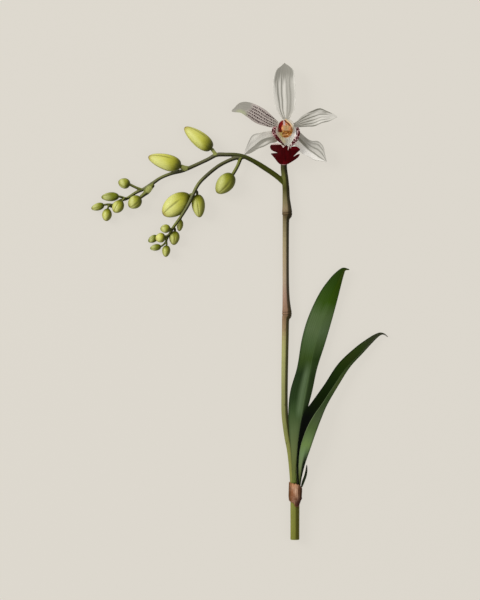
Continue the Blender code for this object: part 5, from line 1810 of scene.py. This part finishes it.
@dataclass(frozen=True)
class Foliage:
    """The two strap leaves and the bract leaf, with the greens of either half, into which painted light
    and shade are worked.
    """

    # Greens of either half from base to tip, with painted light and shade worked in: the dark bands are
    # painted shade and the pale grey-green bands painted highlight
    tall_left: Stops = (
        (0.0, 108, 118, 54), (0.07, 104, 112, 60), (0.14, 102, 113, 66), (0.24, 86, 103, 62),
        (0.31, 56, 78, 38), (0.37, 30, 52, 12), (0.48, 22, 44, 2), (0.55, 50, 72, 18),
        (0.62, 68, 90, 48), (0.68, 82, 101, 62), (0.75, 78, 99, 56), (0.81, 50, 78, 8),
        (0.9, 38, 64, 0), (1.0, 34, 50, 0),
    )
    tall_right: Stops = (
        (0.0, 95, 110, 46), (0.07, 100, 108, 60), (0.14, 80, 92, 55), (0.24, 90, 108, 64),
        (0.3, 90, 110, 70), (0.37, 82, 103, 62), (0.48, 62, 84, 42), (0.55, 42, 64, 20),
        (0.62, 68, 89, 46), (0.68, 86, 107, 68), (0.75, 82, 104, 58), (0.81, 54, 84, 8),
        (0.9, 48, 72, 0), (1.0, 60, 66, 20),
    )
    # The low leaf's left half is nearly black towards its base: painted shade on the inner face of its
    # fold
    low_left: Stops = (
        (0.0, 10, 16, 6), (0.06, 5, 10, 4), (0.37, 5, 10, 4), (0.47, 16, 30, 0),
        (0.58, 24, 42, 4), (0.69, 36, 56, 6), (0.76, 46, 60, 14), (0.83, 48, 66, 20),
        (0.91, 58, 64, 40), (1.0, 56, 54, 38),
    )
    low_right: Stops = (
        (0.0, 40, 50, 20), (0.06, 95, 104, 59), (0.11, 120, 133, 90), (0.17, 115, 140, 93),
        (0.22, 110, 134, 75), (0.27, 96, 118, 70), (0.33, 75, 95, 50), (0.39, 67, 81, 49),
        (0.49, 50, 68, 33), (0.58, 66, 77, 37), (0.69, 54, 70, 32), (0.83, 58, 68, 40),
        (0.91, 60, 64, 46), (1.0, 60, 58, 44),
    )
    bract: Stops = ((0.0, 40, 52, 24), (0.6, 34, 44, 22), (1.0, 52, 50, 40))
    # Edge colours: painted shade along the rims, and on the low leaf's base
    dark: Tint = (30, 48, 16)
    painted_shade_black: Tint = (12, 22, 6)

    def build(self) -> None:
        """Build the leaves, each in its own skin."""
        tall = Blade("leaf_tall", LEAF_TALL, LEAF, 1.3, veins=13.0, relief=0.00005)
        low = Blade("leaf_low", LEAF_LOW, LEAF, 1.3, veins=13.0, relief=0.00005)
        tiny = Blade("bract_leaf", BRACT_LEAF, LEAF * 0.8, 1.3, columns=21, veins=5.0, relief=0.00003)
        tall_greens = self.tall_left, self.tall_right, self.dark
        low_greens = self.low_left, self.low_right, self.painted_shade_black
        tiny_greens = self.bract, self.bract, self.painted_shade_black
        tall.build(LeafSkin("leaf_tall_skin", *tall_greens, 0.12, painted_sheen=0.9).material())
        # The low leaf: rib 0.8, gloss 0.05, and a full painted shadow on the right flank of its base
        low.build(LeafSkin("leaf_low_skin", *low_greens, 0.8, 0.05, 1.0).material())
        tiny.build(LeafSkin("bract_skin", *tiny_greens, 0.0).material())


class BudSpray:
    """The eighteen closed buds."""

    def build(self) -> None:
        """Build the buds; a greener bud has more tone."""
        finish = BudSkin().material()
        for number, (name, row) in enumerate(BUDS.items()):
            turn = BUD_TURNS.get(name, number * BUD_TURN_STEP % 1)
            Bud(name, *row[:5], BUD_TONES[name], turn).build(finish)


class Orchid:
    """The whole cut stem."""

    def build(self) -> None:
        """Build every sub-assembly in order."""
        Stalk().build(StemSkin().material())
        Sheath().build(SheathSkin().material())
        Foliage().build()
        BudSpray().build()
        Flower().build()


@dataclass(frozen=True)
class Studio:
    """Plain pale floor, soft light and a camera that looks straight down."""

    frame_height: float = 600.0
    centre: Spot = (240.0, 300.0, 6.0)
    lens: float = 200.0
    sensor: float = 36.0
    floor_size: float = 30.0
    floor_colour: Colour = screen(223, 218, 208)
    floor_glow: float = 0.86
    sky: Colour = (1.0, 0.99, 0.97, 1.0)
    sky_strength: float = 0.45
    lights: tuple[tuple[str, Spot, float, float], ...] = (
        ("key", (-2.2, 1.0, 1.7), 1.4, 50.0),
        ("fill", (1.5, -0.4, 2.4), 2.2, 12.0),
    )

    def build(self) -> None:
        """Make the floor, the lights, the sky and the camera."""
        self.floor()
        for row in self.lights:
            self.light(*row)
        world = bpy.data.worlds.new("studio")
        world.use_nodes = True
        background = world.node_tree.nodes["Background"]
        background.inputs["Color"].default_value = self.sky
        background.inputs["Strength"].default_value = self.sky_strength
        scene = bpy.context.scene
        scene.world = world
        scene.view_settings.view_transform = "Standard"
        self.camera()

    def floor(self) -> None:
        """Large level floor, partly glowing, so that shadows on it stay faint."""
        half = self.floor_size / 2
        corners = np.array([(-half, -half, 0), (half, -half, 0), (half, half, 0), (-half, half, 0)])
        obj = new_object("floor", Skin(corners, [(0, 1, 2, 3)]).mesh("floor"))
        paint = Paint("floor_paper")
        dim = tuple(part * (1 - self.floor_glow) for part in self.floor_colour[:3])
        paint.dress((*dim, 1.0), 0.9, None, 0.0)
        glow = {"Emission Color": self.floor_colour, "Emission Strength": self.floor_glow}
        for name, value in glow.items():
            paint.shader.inputs[name].default_value = value
        obj.data.materials.append(paint.settle(Specular_IOR_Level=0.0))

    @staticmethod
    def light(name: str, spot: Spot, size: float, power: float) -> None:
        """Square soft light, turned to the middle of the plant."""
        lamp = bpy.data.lights.new(name, "AREA")
        lamp.size = size
        lamp.energy = power
        obj = bpy.data.objects.new(name, lamp)
        obj.location = spot
        obj.rotation_euler = (-Vector(spot)).to_track_quat("-Z", "Y").to_euler()
        bpy.context.scene.collection.objects.link(obj)

    def camera(self) -> None:
        """Camera over the middle of the frame, as far as its lens needs for the plan's scale."""
        middle = place(self.centre)
        lens = bpy.data.cameras.new("camera")
        lens.lens = self.lens
        lens.sensor_width = self.sensor
        lens.clip_end = 100.0
        obj = bpy.data.objects.new("camera", lens)
        away = self.frame_height * GRID / self.sensor * self.lens
        obj.location = Vector(middle) + Vector((0, 0, away))
        bpy.context.scene.collection.objects.link(obj)
        bpy.context.scene.camera = obj


def main() -> None:
    """Build the plant and its studio."""
    logging.basicConfig(level=logging.INFO, format="%(name)s %(message)s")
    Studio().build()
    Orchid().build()


if __name__ == "__main__":
    main()
